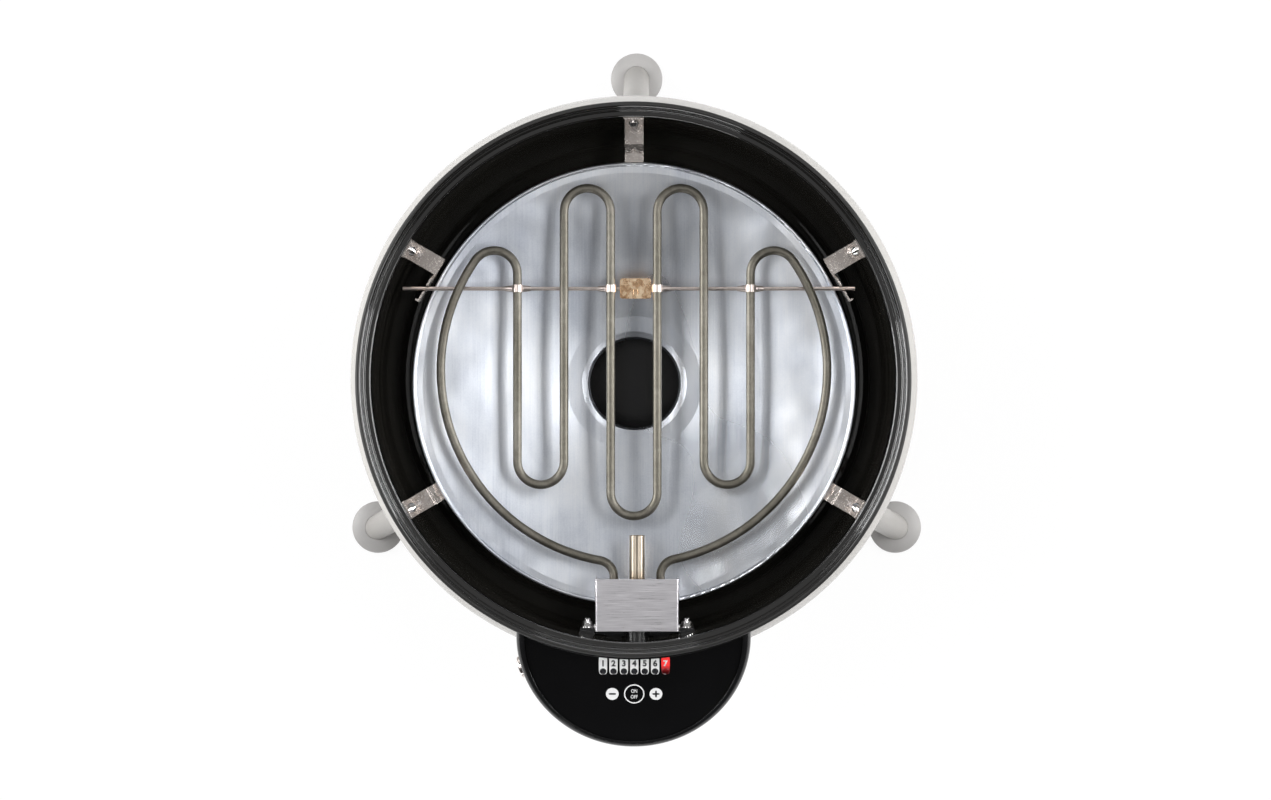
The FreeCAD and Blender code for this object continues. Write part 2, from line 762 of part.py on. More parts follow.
def clamp_at(x):
    """A saddle over the tube whose two ears are crimped round the rod."""
    z = element_z
    rod_z = z - tube_r - rod_r
    inner = tube_r + slip_gap
    outer = inner + clamp_t
    y = rod_y - clamp_w / 2
    saddle = Part.makeCylinder(outer, clamp_w, V(x, y, z), along_y)
    sides = Part.makeBox(2 * outer, clamp_w, z - rod_z + crimp_r, V(x - outer, y, rod_z - crimp_r))
    body = saddle.fuse(sides)
    for side in (-1, 1):
        beside_tag = side * x < 0 and abs(x) < run_pitch
        if not beside_tag:
            body = body.fuse(Part.makeCone(crimp_r, rod_r + crimp_end, crimp_len,
                                           V(x + side * (outer - 0.01), rod_y, rod_z), V(side, 0, 0)))
    reach = 2 * (outer + crimp_len) + 2
    body = body.cut(Part.makeCylinder(inner, clamp_w + 2, V(x, y - 1, z), along_y))
    body = body.cut(Part.makeBox(2 * inner, clamp_w + 2, z - rod_z + crimp_r + 2,
                                 V(x - inner, y - 1, rod_z - crimp_r - 2)))
    return body.cut(Part.makeCylinder(rod_r + slip_gap, reach, V(x - reach / 2, rod_y, rod_z), V(1, 0, 0)))


def rod_clamps():
    places = [side * run_pitch * k for side in (-1, 1) for k in (0.5, 2.5)]
    return group([clamp_at(x) for x in places])


def centre_tag():
    """A pressed plate curled round the rod, with a raised plain arrow."""
    rod_z = element_z - tube_r - rod_r
    bore = rod_r + slip_gap
    top = rod_z + bore + tag_t
    plate = Part.makeBox(tag_w, tag_h, tag_t, V(tag_x - tag_w / 2, rod_y - tag_h / 2, top - tag_t))
    upright = [e for e in plate.Edges if abs(e.Length - tag_t) < 1e-6]
    plate = plate.makeFillet(tag_corner, upright)
    curl = Part.makeCylinder(bore + tag_curl, tag_w, V(tag_x - tag_w / 2, rod_y, rod_z), V(1, 0, 0))
    tip = tag_h / 2 - arrow_margin
    arrow = [(-arrow_stem, -tip), (arrow_stem, -tip), (arrow_stem, 0), (arrow_half_w, 0), (0, tip),
             (-arrow_half_w, 0), (-arrow_stem, 0)]
    corners = [V(tag_x + x, rod_y + y, top - tag_t / 2) for x, y in arrow]
    sign = Part.Face(Part.makePolygon(corners + corners[:1]))
    body = fused([plate, curl, sign.extrude(V(0, 0, tag_relief + tag_t / 2))])
    return body.cut(Part.makeCylinder(bore, tag_w + 2, V(tag_x - tag_w / 2 - 1, rod_y, rod_z), V(1, 0, 0)))


def terminal_box():
    """A folded cover: top and two sides, open to the wall and at the underside."""
    length = box_front_y - box_rear_y
    left = box_x - box_w / 2
    outer = Part.makeBox(box_w, length, box_h, V(left, box_rear_y, box_top_z - box_h))
    ridge = [e for e in outer.Edges if abs(e.Length - length) < 1e-6 and e.BoundBox.ZMin > box_top_z - 1]
    outer = outer.makeFillet(box_round, ridge)
    inner = Part.makeBox(box_w - 2 * box_t, length + 2, box_h, V(left + box_t, box_rear_y - 1,
                                                                box_top_z - box_h - box_t))
    body = outer.cut(inner)
    pin = Part.makeCylinder(hinge_pin_r + slip_gap, box_w + 2, V(left - 1, hinge_y, hinge_z), V(1, 0, 0))
    return body.cut(pin)


def leg_places():
    return [box_x - run_pitch / 2, box_x + run_pitch / 2]


def element_plate():
    """The end plate that holds the tube's two ends and the probe sleeve."""
    width = box_w - 2 * box_t
    y = box_front_y - end_plate_inset - end_plate_t
    plate = Part.makeBox(width, end_plate_t, box_h - box_t, V(box_x - width / 2, y, box_top_z - box_h))
    start_y = y - box_len / 2
    cuts = [Part.makeCylinder(tube_r + slip_gap, box_len, V(x, start_y, element_z), along_y)
            for x in leg_places()]
    cuts.append(Part.makeCylinder(probe_r + slip_gap, box_len, V(box_x, start_y, probe_z), along_y))
    return plate.cut(cuts)


def ceramic_bushes():
    places = [V(x, tube_end_y - bush_len, element_z) for x in leg_places()]
    return group([Part.makeCylinder(bush_r, bush_len, p, along_y).cut(
        Part.makeCylinder(lead_pin_r, bush_len, p, along_y)) for p in places])


def terminal_pins():
    """Cold pins out of the tube's ends, each with a flat tab."""
    solids = []
    for x in leg_places():
        end_y = tube_end_y - bush_len - lead_pin_len
        rod = Part.makeCylinder(lead_pin_r, bush_len + lead_pin_len, V(x, end_y, element_z), along_y)
        width, length, height = tab_size
        tab = Part.makeBox(width, length, height, V(x - width / 2, end_y - tab_lap, element_z - height / 2))
        solids.append(fused([rod, tab]))
    return group(solids)


def probe_sleeve():
    length = probe_front_y - probe_rear_y
    start = V(box_x, probe_rear_y, probe_z)
    bore = Part.makeCylinder(probe_r - probe_wall, length + 2, start - V(0, 1, 0), along_y)
    return Part.makeCylinder(probe_r, length, start, along_y).cut(bore)


def probe_bulb():
    """The sensing bulb in its sleeve, held by a collar at each end."""
    start = V(box_x, probe_rear_y + bulb_inset, probe_z)
    length = probe_front_y - probe_rear_y - 2 * bulb_inset
    collar = probe_r - probe_wall - slip_gap
    body = Part.makeCylinder(bulb_r, length, start, along_y)
    rear = Part.makeCylinder(collar, bulb_foot, start, along_y)
    front = Part.makeCylinder(collar, bulb_foot, start + V(0, length - bulb_foot, 0), along_y)
    return fused([body, rear, front])


def hinge_pin():
    """A riveted pin through both sides of the box."""
    left = box_x - box_w / 2
    rod = Part.makeCylinder(hinge_pin_r, box_w, V(left, hinge_y, hinge_z), V(1, 0, 0))
    heads = [Part.makeCylinder(pin_head_r, pin_head_h, V(left - pin_head_h, hinge_y, hinge_z), V(1, 0, 0)),
             Part.makeCylinder(pin_head_r, pin_head_h, V(left + box_w, hinge_y, hinge_z), V(1, 0, 0))]
    return fused([rod] + heads)


def hinge_plate():
    """A plate curved to the bowl wall, with flat pads for the nuts and two hinge knuckles."""
    deep = bowl_r
    ear_h = plate_top_z - bar_low_z
    ear_w = plate_half_w - box_w / 2 - ear_gap
    band = [Part.makeBox(2 * plate_half_w, deep, bar_h, V(box_x - plate_half_w, -deep, bar_low_z)),
            Part.makeBox(ear_w, deep, ear_h, V(box_x - plate_half_w, -deep, bar_low_z)),
            Part.makeBox(ear_w, deep, ear_h, V(box_x + plate_half_w - ear_w, -deep, bar_low_z))]
    wall = Part.makeCylinder(bowl_r, rim_z)
    half_wall = Part.makeBox(2 * bowl_r, deep, rim_z, V(-bowl_r, -deep, 0))
    skin = wall.cut(Part.makeCylinder(bowl_r - plate_t, rim_z)).common(half_wall)
    pieces = [skin.common(fused(band))]
    for x in stud_places:
        corner = V(x - pad_half_w, pad_face_y - deep, stud_z - pad_half_w)
        pad = Part.makeBox(2 * pad_half_w, deep, 2 * pad_half_w, corner)
        pieces.append(pad.common(wall))
    for side in (-1, 1):
        x = box_x + side * knuckle_x - knuckle_len / 2
        back = hinge_y - knuckle_r
        pieces.append(Part.makeCylinder(knuckle_r, knuckle_len, V(x, hinge_y, hinge_z), V(1, 0, 0)))
        pieces.append(Part.makeBox(knuckle_len, strap_t, hinge_z - bar_low_z, V(x, back, bar_low_z)))
        foot = Part.makeBox(knuckle_len, deep, strap_t, V(x, back - deep, bar_low_z))
        pieces.append(foot.common(wall))
    body = fused(pieces)
    left_end = V(box_x - box_w / 2, hinge_y, hinge_z)
    bore = Part.makeCylinder(hinge_pin_r + slip_gap, box_w, left_end, V(1, 0, 0))
    return body.cut(wall_bores(slip_gap) + [bore])


def flange_studs():
    """Studs from inside the housing to the nuts inside the bowl, each with a head in the housing."""
    solids = []
    for x in stud_places:
        head_y = stud_seat_y(x)
        rod = Part.makeCylinder(stud_r, stud_tip_y - head_y, V(x, head_y, stud_z), along_y)
        tip = [e for e in rod.Edges if e.BoundBox.YMin > stud_tip_y - stud_chamfer]
        rod = rod.makeChamfer(stud_chamfer, tip)
        head_start = V(x, head_y - stud_head_t, stud_z)
        head = Part.makeCylinder(stud_r + stud_head_rim, stud_head_t, head_start, along_y)
        solids.append(fused([rod, head]))
    return group(solids)


def stud_seat_y(x):
    """Where the flat stud boss inside the housing's rear wall ends."""
    reach = shell_radius(stud_z) + shell_gap + housing_wall
    return -math.sqrt(reach ** 2 - (abs(x) - stud_r - stud_boss_rim) ** 2) - stud_boss_t


def flange_washers():
    start = pad_face_y
    return group([Part.makeCylinder(washer_r, washer_t, V(x, start, stud_z), along_y).cut(
        Part.makeCylinder(stud_r + slip_gap, washer_t, V(x, start, stud_z), along_y)) for x in stud_places])


def flange_nuts():
    """Hexagon nuts on the washers."""
    solids = []
    for x in stud_places:
        y = pad_face_y + washer_t
        corner = nut_flats / math.sqrt(3)
        points = [V(*on_arc((x, stud_z), corner, 60 * k)) for k in range(7)]
        points = [V(p.x, y, p.y) for p in points]
        blank = Part.Face(Part.makePolygon(points)).extrude(V(0, nut_t, 0))
        dome = Part.makeCone(corner + nut_bevel, corner - nut_bevel, nut_t, V(x, y, stud_z), along_y)
        solids.append(blank.common(dome).cut(Part.makeCylinder(stud_r, nut_t, V(x, y, stud_z), along_y)))
    return group(solids)


def spacer_sleeves():
    """Sleeves that keep the two walls apart on the studs."""
    gap = shell_inside.cut(bowl_outside)
    solids = []
    for x in stud_places:
        start = V(x, -shell_r, stud_z)
        sleeve = Part.makeCylinder(sleeve_r, shell_r, start, along_y)
        sleeve = sleeve.cut(Part.makeCylinder(stud_r + slip_gap, shell_r, start, along_y))
        solids.append(sleeve.common(gap))
    return group(solids)


def duct_start_y():
    return -shell_radius(duct_z) - shell_gap - housing_wall - duct_out


def duct_end_y():
    return plate_t + duct_out - bowl_r


def lead_duct():
    """A tube that carries the leads from the housing through both walls."""
    start_y = duct_start_y()
    end_y = duct_end_y()
    start = V(box_x, start_y, duct_z)
    tube = Part.makeCylinder(duct_r, end_y - start_y, start, along_y)
    return tube.cut(Part.makeCylinder(duct_r - duct_wall, end_y - start_y, start, along_y))


def lead_grommet():
    """A rubber bush in the duct's inner end, with a bore for each lead."""
    end_y = duct_end_y()
    start_y = end_y - grommet_len
    plug = Part.makeCylinder(duct_r - duct_wall - slip_gap, grommet_len, V(box_x, start_y, duct_z), along_y)
    lip = Part.makeCylinder(duct_r, grommet_lip, V(box_x, end_y, duct_z), along_y)
    body = fused([plug, lip])
    bores = [Part.makeCylinder(lead_r + slip_gap, 2 * grommet_len, V(x, start_y, z), along_y)
             for x, z in lead_places()]
    return body.cut(bores)


def lead_places():
    return [on_arc((box_x, duct_z), lead_ring_r, angle) for angle in (90, 210, 330)]


def supply_leads():
    """Three insulated leads through the duct; their loose ends to the box are not made."""
    start_y = duct_start_y() - lead_over
    length = duct_end_y() + lead_in - start_y
    return group([Part.makeCylinder(lead_r, length, V(x, start_y, z), along_y) for x, z in lead_places()])


def tilted(shape):
    """From the disc's own frame, with its face up at the origin, to its place on the grill."""
    copy = shape.copy()
    copy.rotate(V(0, 0, 0), V(1, 0, 0), disc_tilt)
    copy.translate(V(0, disc_y, disc_z))
    return copy


def disc_profile(inset, low, high):
    """The housing's disc between two heights, its walls inset."""
    top_r = disc_top_r - inset
    wide_r = disc_r - inset
    reach_r = wide_r - top_r
    reach_n = disc_top - disc_shoulder
    half = math.sqrt(0.5)
    arc_mid = (top_r + reach_r * half, disc_shoulder + reach_n * half)
    bottom = disc_bottom + inset
    skirt_r = disc_skirt_r - inset
    low_mid = (disc_low_r + (skirt_r - disc_low_r) * low_bulge[0],
               disc_skirt - (disc_skirt - bottom) * low_bulge[1])
    edges = [arc((top_r, disc_top), arc_mid, (wide_r, disc_shoulder))]
    edges += lines([(wide_r, disc_shoulder), (skirt_r, disc_skirt)], False)
    edges.append(arc((skirt_r, disc_skirt), low_mid, (disc_low_r - inset, bottom)))
    edges += lines([(disc_low_r - inset, bottom), (0, bottom), (0, disc_top), (top_r, disc_top)], False)
    slab = Part.makeCylinder(2 * disc_r, high - low, V(0, 0, low))
    return spun(edges).common(slab)


def crescent(solid, gap):
    """What is left of a tilted piece outside the shell and clear of the rim."""
    rim_space = ring(0.0, rim_r + gap, shell_top_z - rim_clear, 2 * rim_z)
    return tilted(solid).cut([shell_solid(-gap, rim_z), rim_space])


def local_cylinder(radius, low, high, at):
    return tilted(Part.makeCylinder(radius, high - low, V(at[0], at[1], low)))


def boss_places():
    places = [polar(boss_ring_r, turn) for turn in boss_turns]
    return [(place.x, place.y) for place in places]


def stud_bosses():
    """Flat seats for the stud heads inside the housing's rear wall."""
    bosses = []
    for x in stud_places:
        y = stud_seat_y(x)
        boss = Part.makeCylinder(stud_r + stud_boss_rim, bowl_r, V(x, y, stud_z), along_y)
        bosses.append(boss.cut(shell_solid(-shell_gap, rim_z)))
    return bosses


def button_axis():
    """Centre of the housing's side wall at the switch and the outward direction."""
    a = math.radians(button_angle)
    tilt = math.radians(disc_tilt)
    local = V(math.cos(a), math.sin(a), 0)
    outward = V(local.x, local.y * math.cos(tilt), local.y * math.sin(tilt))
    wall_r = disc_r - (disc_r - disc_skirt_r) * (disc_shoulder - button_n) / (disc_shoulder - disc_skirt)
    n = V(0, -math.sin(tilt), math.cos(tilt))
    centre = V(0, disc_y, disc_z) + outward * wall_r + n * button_n
    return centre, outward


def button_cylinder(radius, start, end):
    """A cylinder on the switch's axis; distances are outwards from the side wall."""
    centre, outward = button_axis()
    return Part.makeCylinder(radius, end - start, centre + outward * start, outward)


def button_bore():
    """The hole through the housing's wall for the switch's collar."""
    return button_cylinder(button_r + collar_t, -2 * button_r, 2 * button_r)


def housing_cover():
    """Upper half of the housing, with the ledge that the glass lies on."""
    outer = crescent(disc_profile(0.0, split_n, disc_top + 1), shell_gap)
    hollow = crescent(disc_profile(housing_wall, split_n - housing_wall, -glass_t - housing_wall),
                      shell_gap + housing_wall)
    window = crescent(Part.makeCylinder(glass_r - glass_seat, -2 * split_n, V(0, 0, split_n)),
                      shell_gap + glass_rear_gap + glass_seat)
    pocket = crescent(Part.makeCylinder(glass_r + slip_gap, -split_n, V(0, 0, -glass_t)),
                      shell_gap + glass_rear_gap - slip_gap)
    return outer.cut(hollow).cut(window).cut(pocket).cut(button_bore())


def touch_glass():
    plate = Part.makeCylinder(glass_r, glass_t, V(0, 0, -glass_t))
    plate = plate.makeChamfer(glass_bevel, [e for e in plate.Edges if e.BoundBox.ZMin > -glass_bevel])
    return crescent(plate, shell_gap + glass_rear_gap)


def housing_base():
    """Lower half of the housing, with screw posts, stud bosses and the inlet's opening."""
    outer = crescent(disc_profile(0.0, disc_bottom, split_n), shell_gap)
    hollow = crescent(disc_profile(housing_wall, disc_bottom + housing_wall, split_n + housing_wall),
                      shell_gap + housing_wall)
    body = outer.cut(hollow)
    post_top = board_top - board_t
    posts = [local_cylinder(boss_r, disc_bottom, post_top, at).common(outer) for at in boss_places()]
    seats = [boss.common(outer) for boss in stud_bosses()]
    body = fused([body] + posts + seats)
    holes = wall_bores(slip_gap)
    for at in boss_places():
        holes.append(local_cylinder(screw_r, disc_bottom, board_top, at))
        holes.append(local_cylinder(screw_head_r + seat_gap, disc_bottom, disc_bottom + screw_head_h, at))
    corner = V(inlet_at[0] - inlet_w / 2, inlet_at[1] - inlet_d / 2, disc_bottom)
    inlet_hole = tilted(Part.makeBox(inlet_w, inlet_d, inlet_h, corner))
    return body.cut(holes + [inlet_hole, button_bore()])


def housing_screws():
    solids = []
    for at in boss_places():
        low = disc_bottom + screw_sink
        seat = disc_bottom + screw_head_h
        slot_w, slot_d = screw_slot
        head = local_cylinder(screw_head_r, low, seat, at)
        shank = local_cylinder(screw_r, seat, seat + screw_len, at)
        corner = V(at[0] - screw_head_r, at[1] - slot_w / 2, low)
        slot = tilted(Part.makeBox(2 * screw_head_r, slot_w, slot_d, corner))
        solids.append(fused([head, shank]).cut(slot))
    return group(solids)


def circuit_board():
    board = crescent(Part.makeCylinder(board_r, board_t, V(0, 0, board_top - board_t)),
                     shell_gap + housing_wall + board_clear)
    return board.cut([button_cylinder(switch_r + collar_t, -board_r, 0.0)])


def level_lamps():
    """Seven lamps in a row between the board and the glass."""
    height = -glass_t - board_top
    corners = [V(lamp_pitch * k - lamp_w / 2, lamp_v - lamp_w / 2, board_top) for k in range(-3, 4)]
    return group([tilted(Part.makeBox(lamp_w, lamp_w, height, corner)) for corner in corners])


def touch_pads():
    """Sensing pads that press on the glass from the board."""
    keys = [(-key_x, key_r), (0.0, key_mid_r), (key_x, key_r)]
    return group([local_cylinder(r, board_top, -glass_t, (x, key_v)) for x, r in keys])


def block_under_board(size, at, chamfer):
    box = Part.makeBox(size[0], size[1], size[2], V(at[0] - size[0] / 2, at[1] - size[1] / 2,
                                                  board_top - board_t - size[2]))
    upright = [e for e in box.Edges if abs(e.Length - size[2]) < 1e-6]
    return tilted(box.makeChamfer(chamfer, upright))


def mains_inlet():
    """A recessed three-pin inlet, its rim on the housing's underside."""
    x = inlet_at[0] - inlet_w / 2
    y = inlet_at[1] - inlet_d / 2
    body = Part.makeBox(inlet_w, inlet_d, inlet_h, V(x, y, disc_bottom))
    upright = [e for e in body.Edges if abs(e.Length - inlet_h) < 1e-6]
    body = body.makeChamfer(inlet_bevel, upright)
    well = Part.makeBox(inlet_w - 2 * inlet_rim, inlet_d - 2 * inlet_rim, inlet_well,
                        V(x + inlet_rim, y + inlet_rim, disc_bottom))
    body = body.cut(well)
    return tilted(body.cut(pin_blades(disc_bottom, inlet_h)))


def pin_blades(low, length):
    """The three flat pins' shape from a height up, in the disc's own frame."""
    wide, thick, _ = inlet_pin
    return [Part.makeBox(wide, thick, length, V(x - wide / 2, y - thick / 2, low)) for x, y in inlet_pins_at()]


def inlet_pins_at():
    x, y = inlet_at
    live_y = y - inlet_live_down
    return [(x - inlet_pitch, live_y), (x, y + inlet_earth_up), (x + inlet_pitch, live_y)]


def inlet_pins():
    low = disc_bottom + inlet_well - inlet_pin[2]
    length = inlet_pin[2] + inlet_h - inlet_well + inlet_pin_tail
    return group([tilted(blade) for blade in pin_blades(low, length)])


def button_collar():
    """The fixed metal collar that the push cap slides in."""
    inner = button_r + slip_gap
    outer = button_r + collar_t - slip_gap
    back = -housing_wall - collar_in
    body = button_cylinder(outer, back, collar_out)
    flange = button_cylinder(outer + collar_lip, back, back + collar_lip_t)
    return fused([body, flange]).cut(button_cylinder(inner, -2 * button_r, 2 * button_r))


def side_button():
    """The push cap, hollow behind, with the stem that works the switch."""
    front = button_out
    cap = button_cylinder(button_r, front - button_len, front)
    rim = [e for e in cap.Edges if e.Curve.TypeId == "Part::GeomCircle"]
    centre, outward = button_axis()
    outer_rim = max(rim, key=lambda e: (e.Curve.Center - centre).dot(outward))
    cap = cap.makeFillet(button_round, [outer_rim])
    cap = cap.cut(button_cylinder(button_r - button_wall, front - button_len, front - button_face_t))
    stem = button_cylinder(stem_r, front - button_len - stem_len, front - button_face_t)
    return fused([cap, stem])


def switch_seat():
    """Where the switch's face is, clear of the pressed cap."""
    return button_out - button_len - button_press - button_gap


def side_switch():
    """The switch body, with a bore for the stem, and its flange in the collar."""
    face = switch_seat()
    body = button_cylinder(switch_r, face - switch_len, face)
    flange_r = button_r + collar_t - seat_gap
    flange = button_cylinder(flange_r, face - switch_flange_t, -housing_wall - collar_in)
    return fused([body, flange]).cut(button_cylinder(stem_r + slip_gap, face - stem_len - slip_gap, face))


def button_spring():
    """A flat-wire coil spring round the stem, between the switch and the cap."""
    centre, outward = button_axis()
    low = switch_seat()
    height = button_out - button_face_t - low
    pitch = (height - spring_wire_h) / spring_turns
    helix = Part.makeHelix(pitch, pitch * spring_turns, spring_r)
    section = Part.makePolygon([V(spring_r, 0, 0), V(spring_r + spring_wire_w, 0, 0),
                                V(spring_r + spring_wire_w, 0, spring_wire_h), V(spring_r, 0, spring_wire_h),
                                V(spring_r, 0, 0)])
    coil = Part.Wire(helix).makePipeShell([section], True, True)
    turn = FreeCAD.Rotation(V(0, 0, 1), outward)
    coil.Placement = FreeCAD.Placement(centre + outward * low, turn)
    return coil


def leg_line(angle):
    """The leg's root on the shell, its direction and its length to the table."""
    side = (shell_r - shell_side_r, shell_wide_z)
    root_r, root_z = on_arc(side, shell_side_r, -leg_root_turn)
    root = polar(root_r, angle, root_z)
    aim = polar(foot_ring_r, angle, leg_aim_z)
    run = aim - root
    length = run.Length
    run.normalize()
    return root, run, length


def leg_tube(angle):
    root, run, length = leg_line(angle)
    outer = Part.makeCylinder(leg_r, 2 * length, root + run * leg_start, run)
    tube = outer.cut(Part.makeCylinder(leg_r - leg_wall, 2 * length, root, run))
    tube = tube.cut(shell_outside).cut(under_foot_floor())
    return tube.cut(leg_screw_shank(angle, slip_gap))


def under_foot_floor():
    """Everything below the floor that the legs stand on inside the feet."""
    return Part.makeCylinder(2 * foot_ring_r, foot_ring_r, V(0, 0, foot_floor - foot_ring_r))


def leg_screw_axis(angle):
    """The cross screw's line, along the rim through the socket."""
    root, run, _ = leg_line(angle)
    return root + run * leg_screw_at, polar(1.0, angle + 90)


def leg_screw_shank(angle, extra):
    at, across = leg_screw_axis(angle)
    reach = leg_r + socket_wall
    return Part.makeCylinder(leg_screw_r + extra, 2 * reach, at - across * reach, across)


def leg_socket(angle):
    """A cast cup with a curved flange on the shell; the leg pushes in and a cross screw holds it."""
    root, run, _ = leg_line(angle)
    outer = leg_r + socket_wall
    a = math.radians(-leg_root_turn)
    normal = polar(math.cos(a), angle, math.sin(a))
    cup = Part.makeCylinder(outer, socket_len + outer, root - run * outer, run)
    skin = shell_solid(-socket_flange_t).cut(shell_outside)
    reach = socket_flange_r
    flange = skin.common(Part.makeCylinder(socket_flange_r, 2 * reach, root - normal * reach, normal))
    body = fused([cup.cut(shell_outside), flange])
    body = body.cut(Part.makeCylinder(leg_r + slip_gap, socket_len + outer, root + run * leg_start, run))
    return body.cut(leg_screw_shank(angle, slip_gap))


def leg_screws():
    solids = []
    for angle in leg_angles.values():
        at, across = leg_screw_axis(angle)
        reach = leg_r + socket_wall
        head = Part.makeCone(leg_screw_head_r, leg_screw_r, leg_screw_head_h, at + across * reach, across)
        solids.append(fused([leg_screw_shank(angle, 0.0), head]))
    return group(solids)


def foot(angle):
    """A low round foot with a domed top, bored at the leg's slant."""
    centre = foot_ring_r
    rise = foot_h - foot_edge_h
    edges = [arc((foot_r, foot_edge_h), (foot_r * foot_swell, foot_edge_h + rise * foot_swell), (0, foot_h))]
    edges += lines([(0, foot_h), (0, 0), (foot_r - foot_bevel, 0), (foot_r, foot_bevel),
                    (foot_r, foot_edge_h)], False)
    body = spun(edges)
    body.translate(polar(centre, angle))
    root, run, length = leg_line(angle)
    bore = Part.makeCylinder(leg_r + slip_gap, 2 * length, root, run)
    return body.cut(bore.cut(under_foot_floor()))


def rounded_prism(width, length, radius, low, high, grow=0.0):
    """A prism with rounded corners; grow widens it towards the top."""
    def outline(extra, z):
        w = width / 2 + extra
        d = length / 2 + extra
        plate = Part.makeBox(2 * w, 2 * d, 1.0, V(-w, -d, z))
        upright = [e for e in plate.Edges if abs(e.Length - 1.0) < 1e-6]
        plate = plate.makeFillet(radius + extra, upright)
        return min(plate.Faces, key=lambda f: f.CenterOfMass.z).OuterWire
    return Part.makeLoft([outline(0.0, low), outline(grow, high)], True, True)


def drip_tray():
    """A pressed pan with drafted walls and a flat lip all round."""
    low = tray_lip_z - tray_depth
    floor_w = tray_w - 2 * tray_draft
    floor_l = tray_len - 2 * tray_draft
    outer = rounded_prism(floor_w, floor_l, tray_corner, low, tray_lip_z, tray_draft)
    inner = rounded_prism(floor_w - 2 * tray_t, floor_l - 2 * tray_t, tray_corner - tray_t,
                          low + tray_t, tray_lip_z + 0.01, tray_draft)
    lip = rounded_prism(tray_w + 2 * tray_lip, tray_len + 2 * tray_lip, tray_corner,
                        tray_lip_z - tray_t, tray_lip_z)
    return fused([outer, lip]).cut(inner)


def tray_handle():
    """A bent wire grip butted to the tray's front wall."""
    front_y = -tray_len / 2 - tray_lip
    z = tray_lip_z - tray_t - grip_drop
    half = grip_w / 2
    far = front_y - grip_out
    wall_y = front_y + tray_lip + tray_draft
    path = Part.Wire([
        Part.LineSegment(V(-half, wall_y, z), V(-half, far + grip_bend, z)).toShape(),
        Part.Arc(V(-half, far + grip_bend, z),
                 V(-half + grip_bend * (1 - math.sqrt(0.5)), far + grip_bend * (1 - math.sqrt(0.5)), z),
                 V(-half + grip_bend, far, z)).toShape(),
        Part.LineSegment(V(-half + grip_bend, far, z), V(half - grip_bend, far, z)).toShape(),
        Part.Arc(V(half - grip_bend, far, z),
                 V(half - grip_bend * (1 - math.sqrt(0.5)), far + grip_bend * (1 - math.sqrt(0.5)), z),
                 V(half, far + grip_bend, z)).toShape(),
        Part.LineSegment(V(half, far + grip_bend, z), V(half, wall_y, z)).toShape()])
    profile = Part.Wire([Part.Circle(V(-half, wall_y, z), along_y, grip_r).toShape()])
    wire = path.makePipeShell([profile], True, False)
    low = tray_lip_z - tray_depth
    pan = rounded_prism(tray_w - 2 * tray_draft, tray_len - 2 * tray_draft, tray_corner, low, tray_lip_z,
                        tray_draft)
    return wire.cut(pan)


def runner_inner_x():
    return tray_w / 2 + tray_lip + runner_gap


def runner(side):
    """A channel round the tray's lip, hung from the shell by two straps and closed at the back."""
    x0 = tray_w / 2 + tray_lip - runner_lap
    x1 = runner_inner_x() + runner_t
    low = tray_lip_z - tray_t - seat_gap - runner_t
    high = tray_lip_z + runner_gap + runner_t
    outer = Part.makeBox(x1 - x0, runner_len, high - low, V(x0, -runner_len / 2, low))
    slot = Part.makeBox(x1 - x0 - runner_t, runner_len + 2, high - low - 2 * runner_t,
                        V(x0, -runner_len / 2 - 1, low + runner_t))
    stop_y = tray_len / 2 + tray_lip + seat_gap
    tail = Part.makeBox(x1 - x0, stop_y + runner_t - runner_len / 2, high - low, V(x0, runner_len / 2, low))
    tail = tail.cut(Part.makeBox(x1 - x0 - runner_t, stop_y - runner_len / 2, high - low - 2 * runner_t,
                                 V(x0, runner_len / 2, low + runner_t)))
    body = fused([outer.cut(slot), tail])
    pieces = [body]
    for y in (-hanger_y, hanger_y):
        tall = shell_floor_z(x1 + hanger_foot, y) + runner_t - low
        strap = Part.makeBox(runner_t, hanger_w, tall, V(x1 - runner_t, y - hanger_w / 2, low))
        pieces.append(strap.cut(shell_outside))
        foot_box = Part.makeBox(hanger_foot, hanger_w, tall, V(x1 - runner_t, y - hanger_w / 2, low))
        pieces.append(shell_solid(-runner_t).cut(shell_outside).common(foot_box))
    body = fused(pieces)
    body = body.cut([screw_shank(x, y, slip_gap) for x, y in runner_screw_places() if x > 0])
    return body if side > 0 else body.mirror(V(0, 0, 0), V(1, 0, 0))


def runner_screw_places():
    x = runner_inner_x() + hanger_foot / 2 + runner_t
    return [(side * x, y) for side in (-1, 1) for y in (-hanger_y, hanger_y)]


def screw_seat_z(x, y):
    return shell_floor_z(x, y) - runner_t - runner_screw_drop


def screw_shank(x, y, extra):
    """Upright screw of a runner, from below its foot up into the space between the walls."""
    return Part.makeCylinder(runner_screw_r + extra, runner_screw_len, V(x, y, screw_seat_z(x, y)))


def runner_screws():
    solids = []
    for x, y in runner_screw_places():
        head = Part.makeCylinder(runner_head_r, runner_head_h, V(x, y, screw_seat_z(x, y) - runner_head_h))
        solids.append(fused([screw_shank(x, y, 0.0), head]))
    return group(solids)


save("inner_bowl", inner_bowl())
save("outer_shell", outer_shell())
save("drip_spout", drip_spout())
save("spout_ring_nut", spout_ring_nut())
for bracket_name, bracket_angle in bracket_angles.items():
    body = turned(reflector_bracket(bracket_angle), bracket_angle)
    save("bracket_" + bracket_name, body.common(bowl_space))
for bracket_name, bracket_angle in arm_angles.items():
    arm = turned(arm_bracket(1 if bracket_angle > 90 else -1), bracket_angle)
    save("bracket_" + bracket_name, arm.cut(rod_slot_cut()).common(bowl_space))
save("bracket_screws", bracket_screws())
save("reflector", reflector())

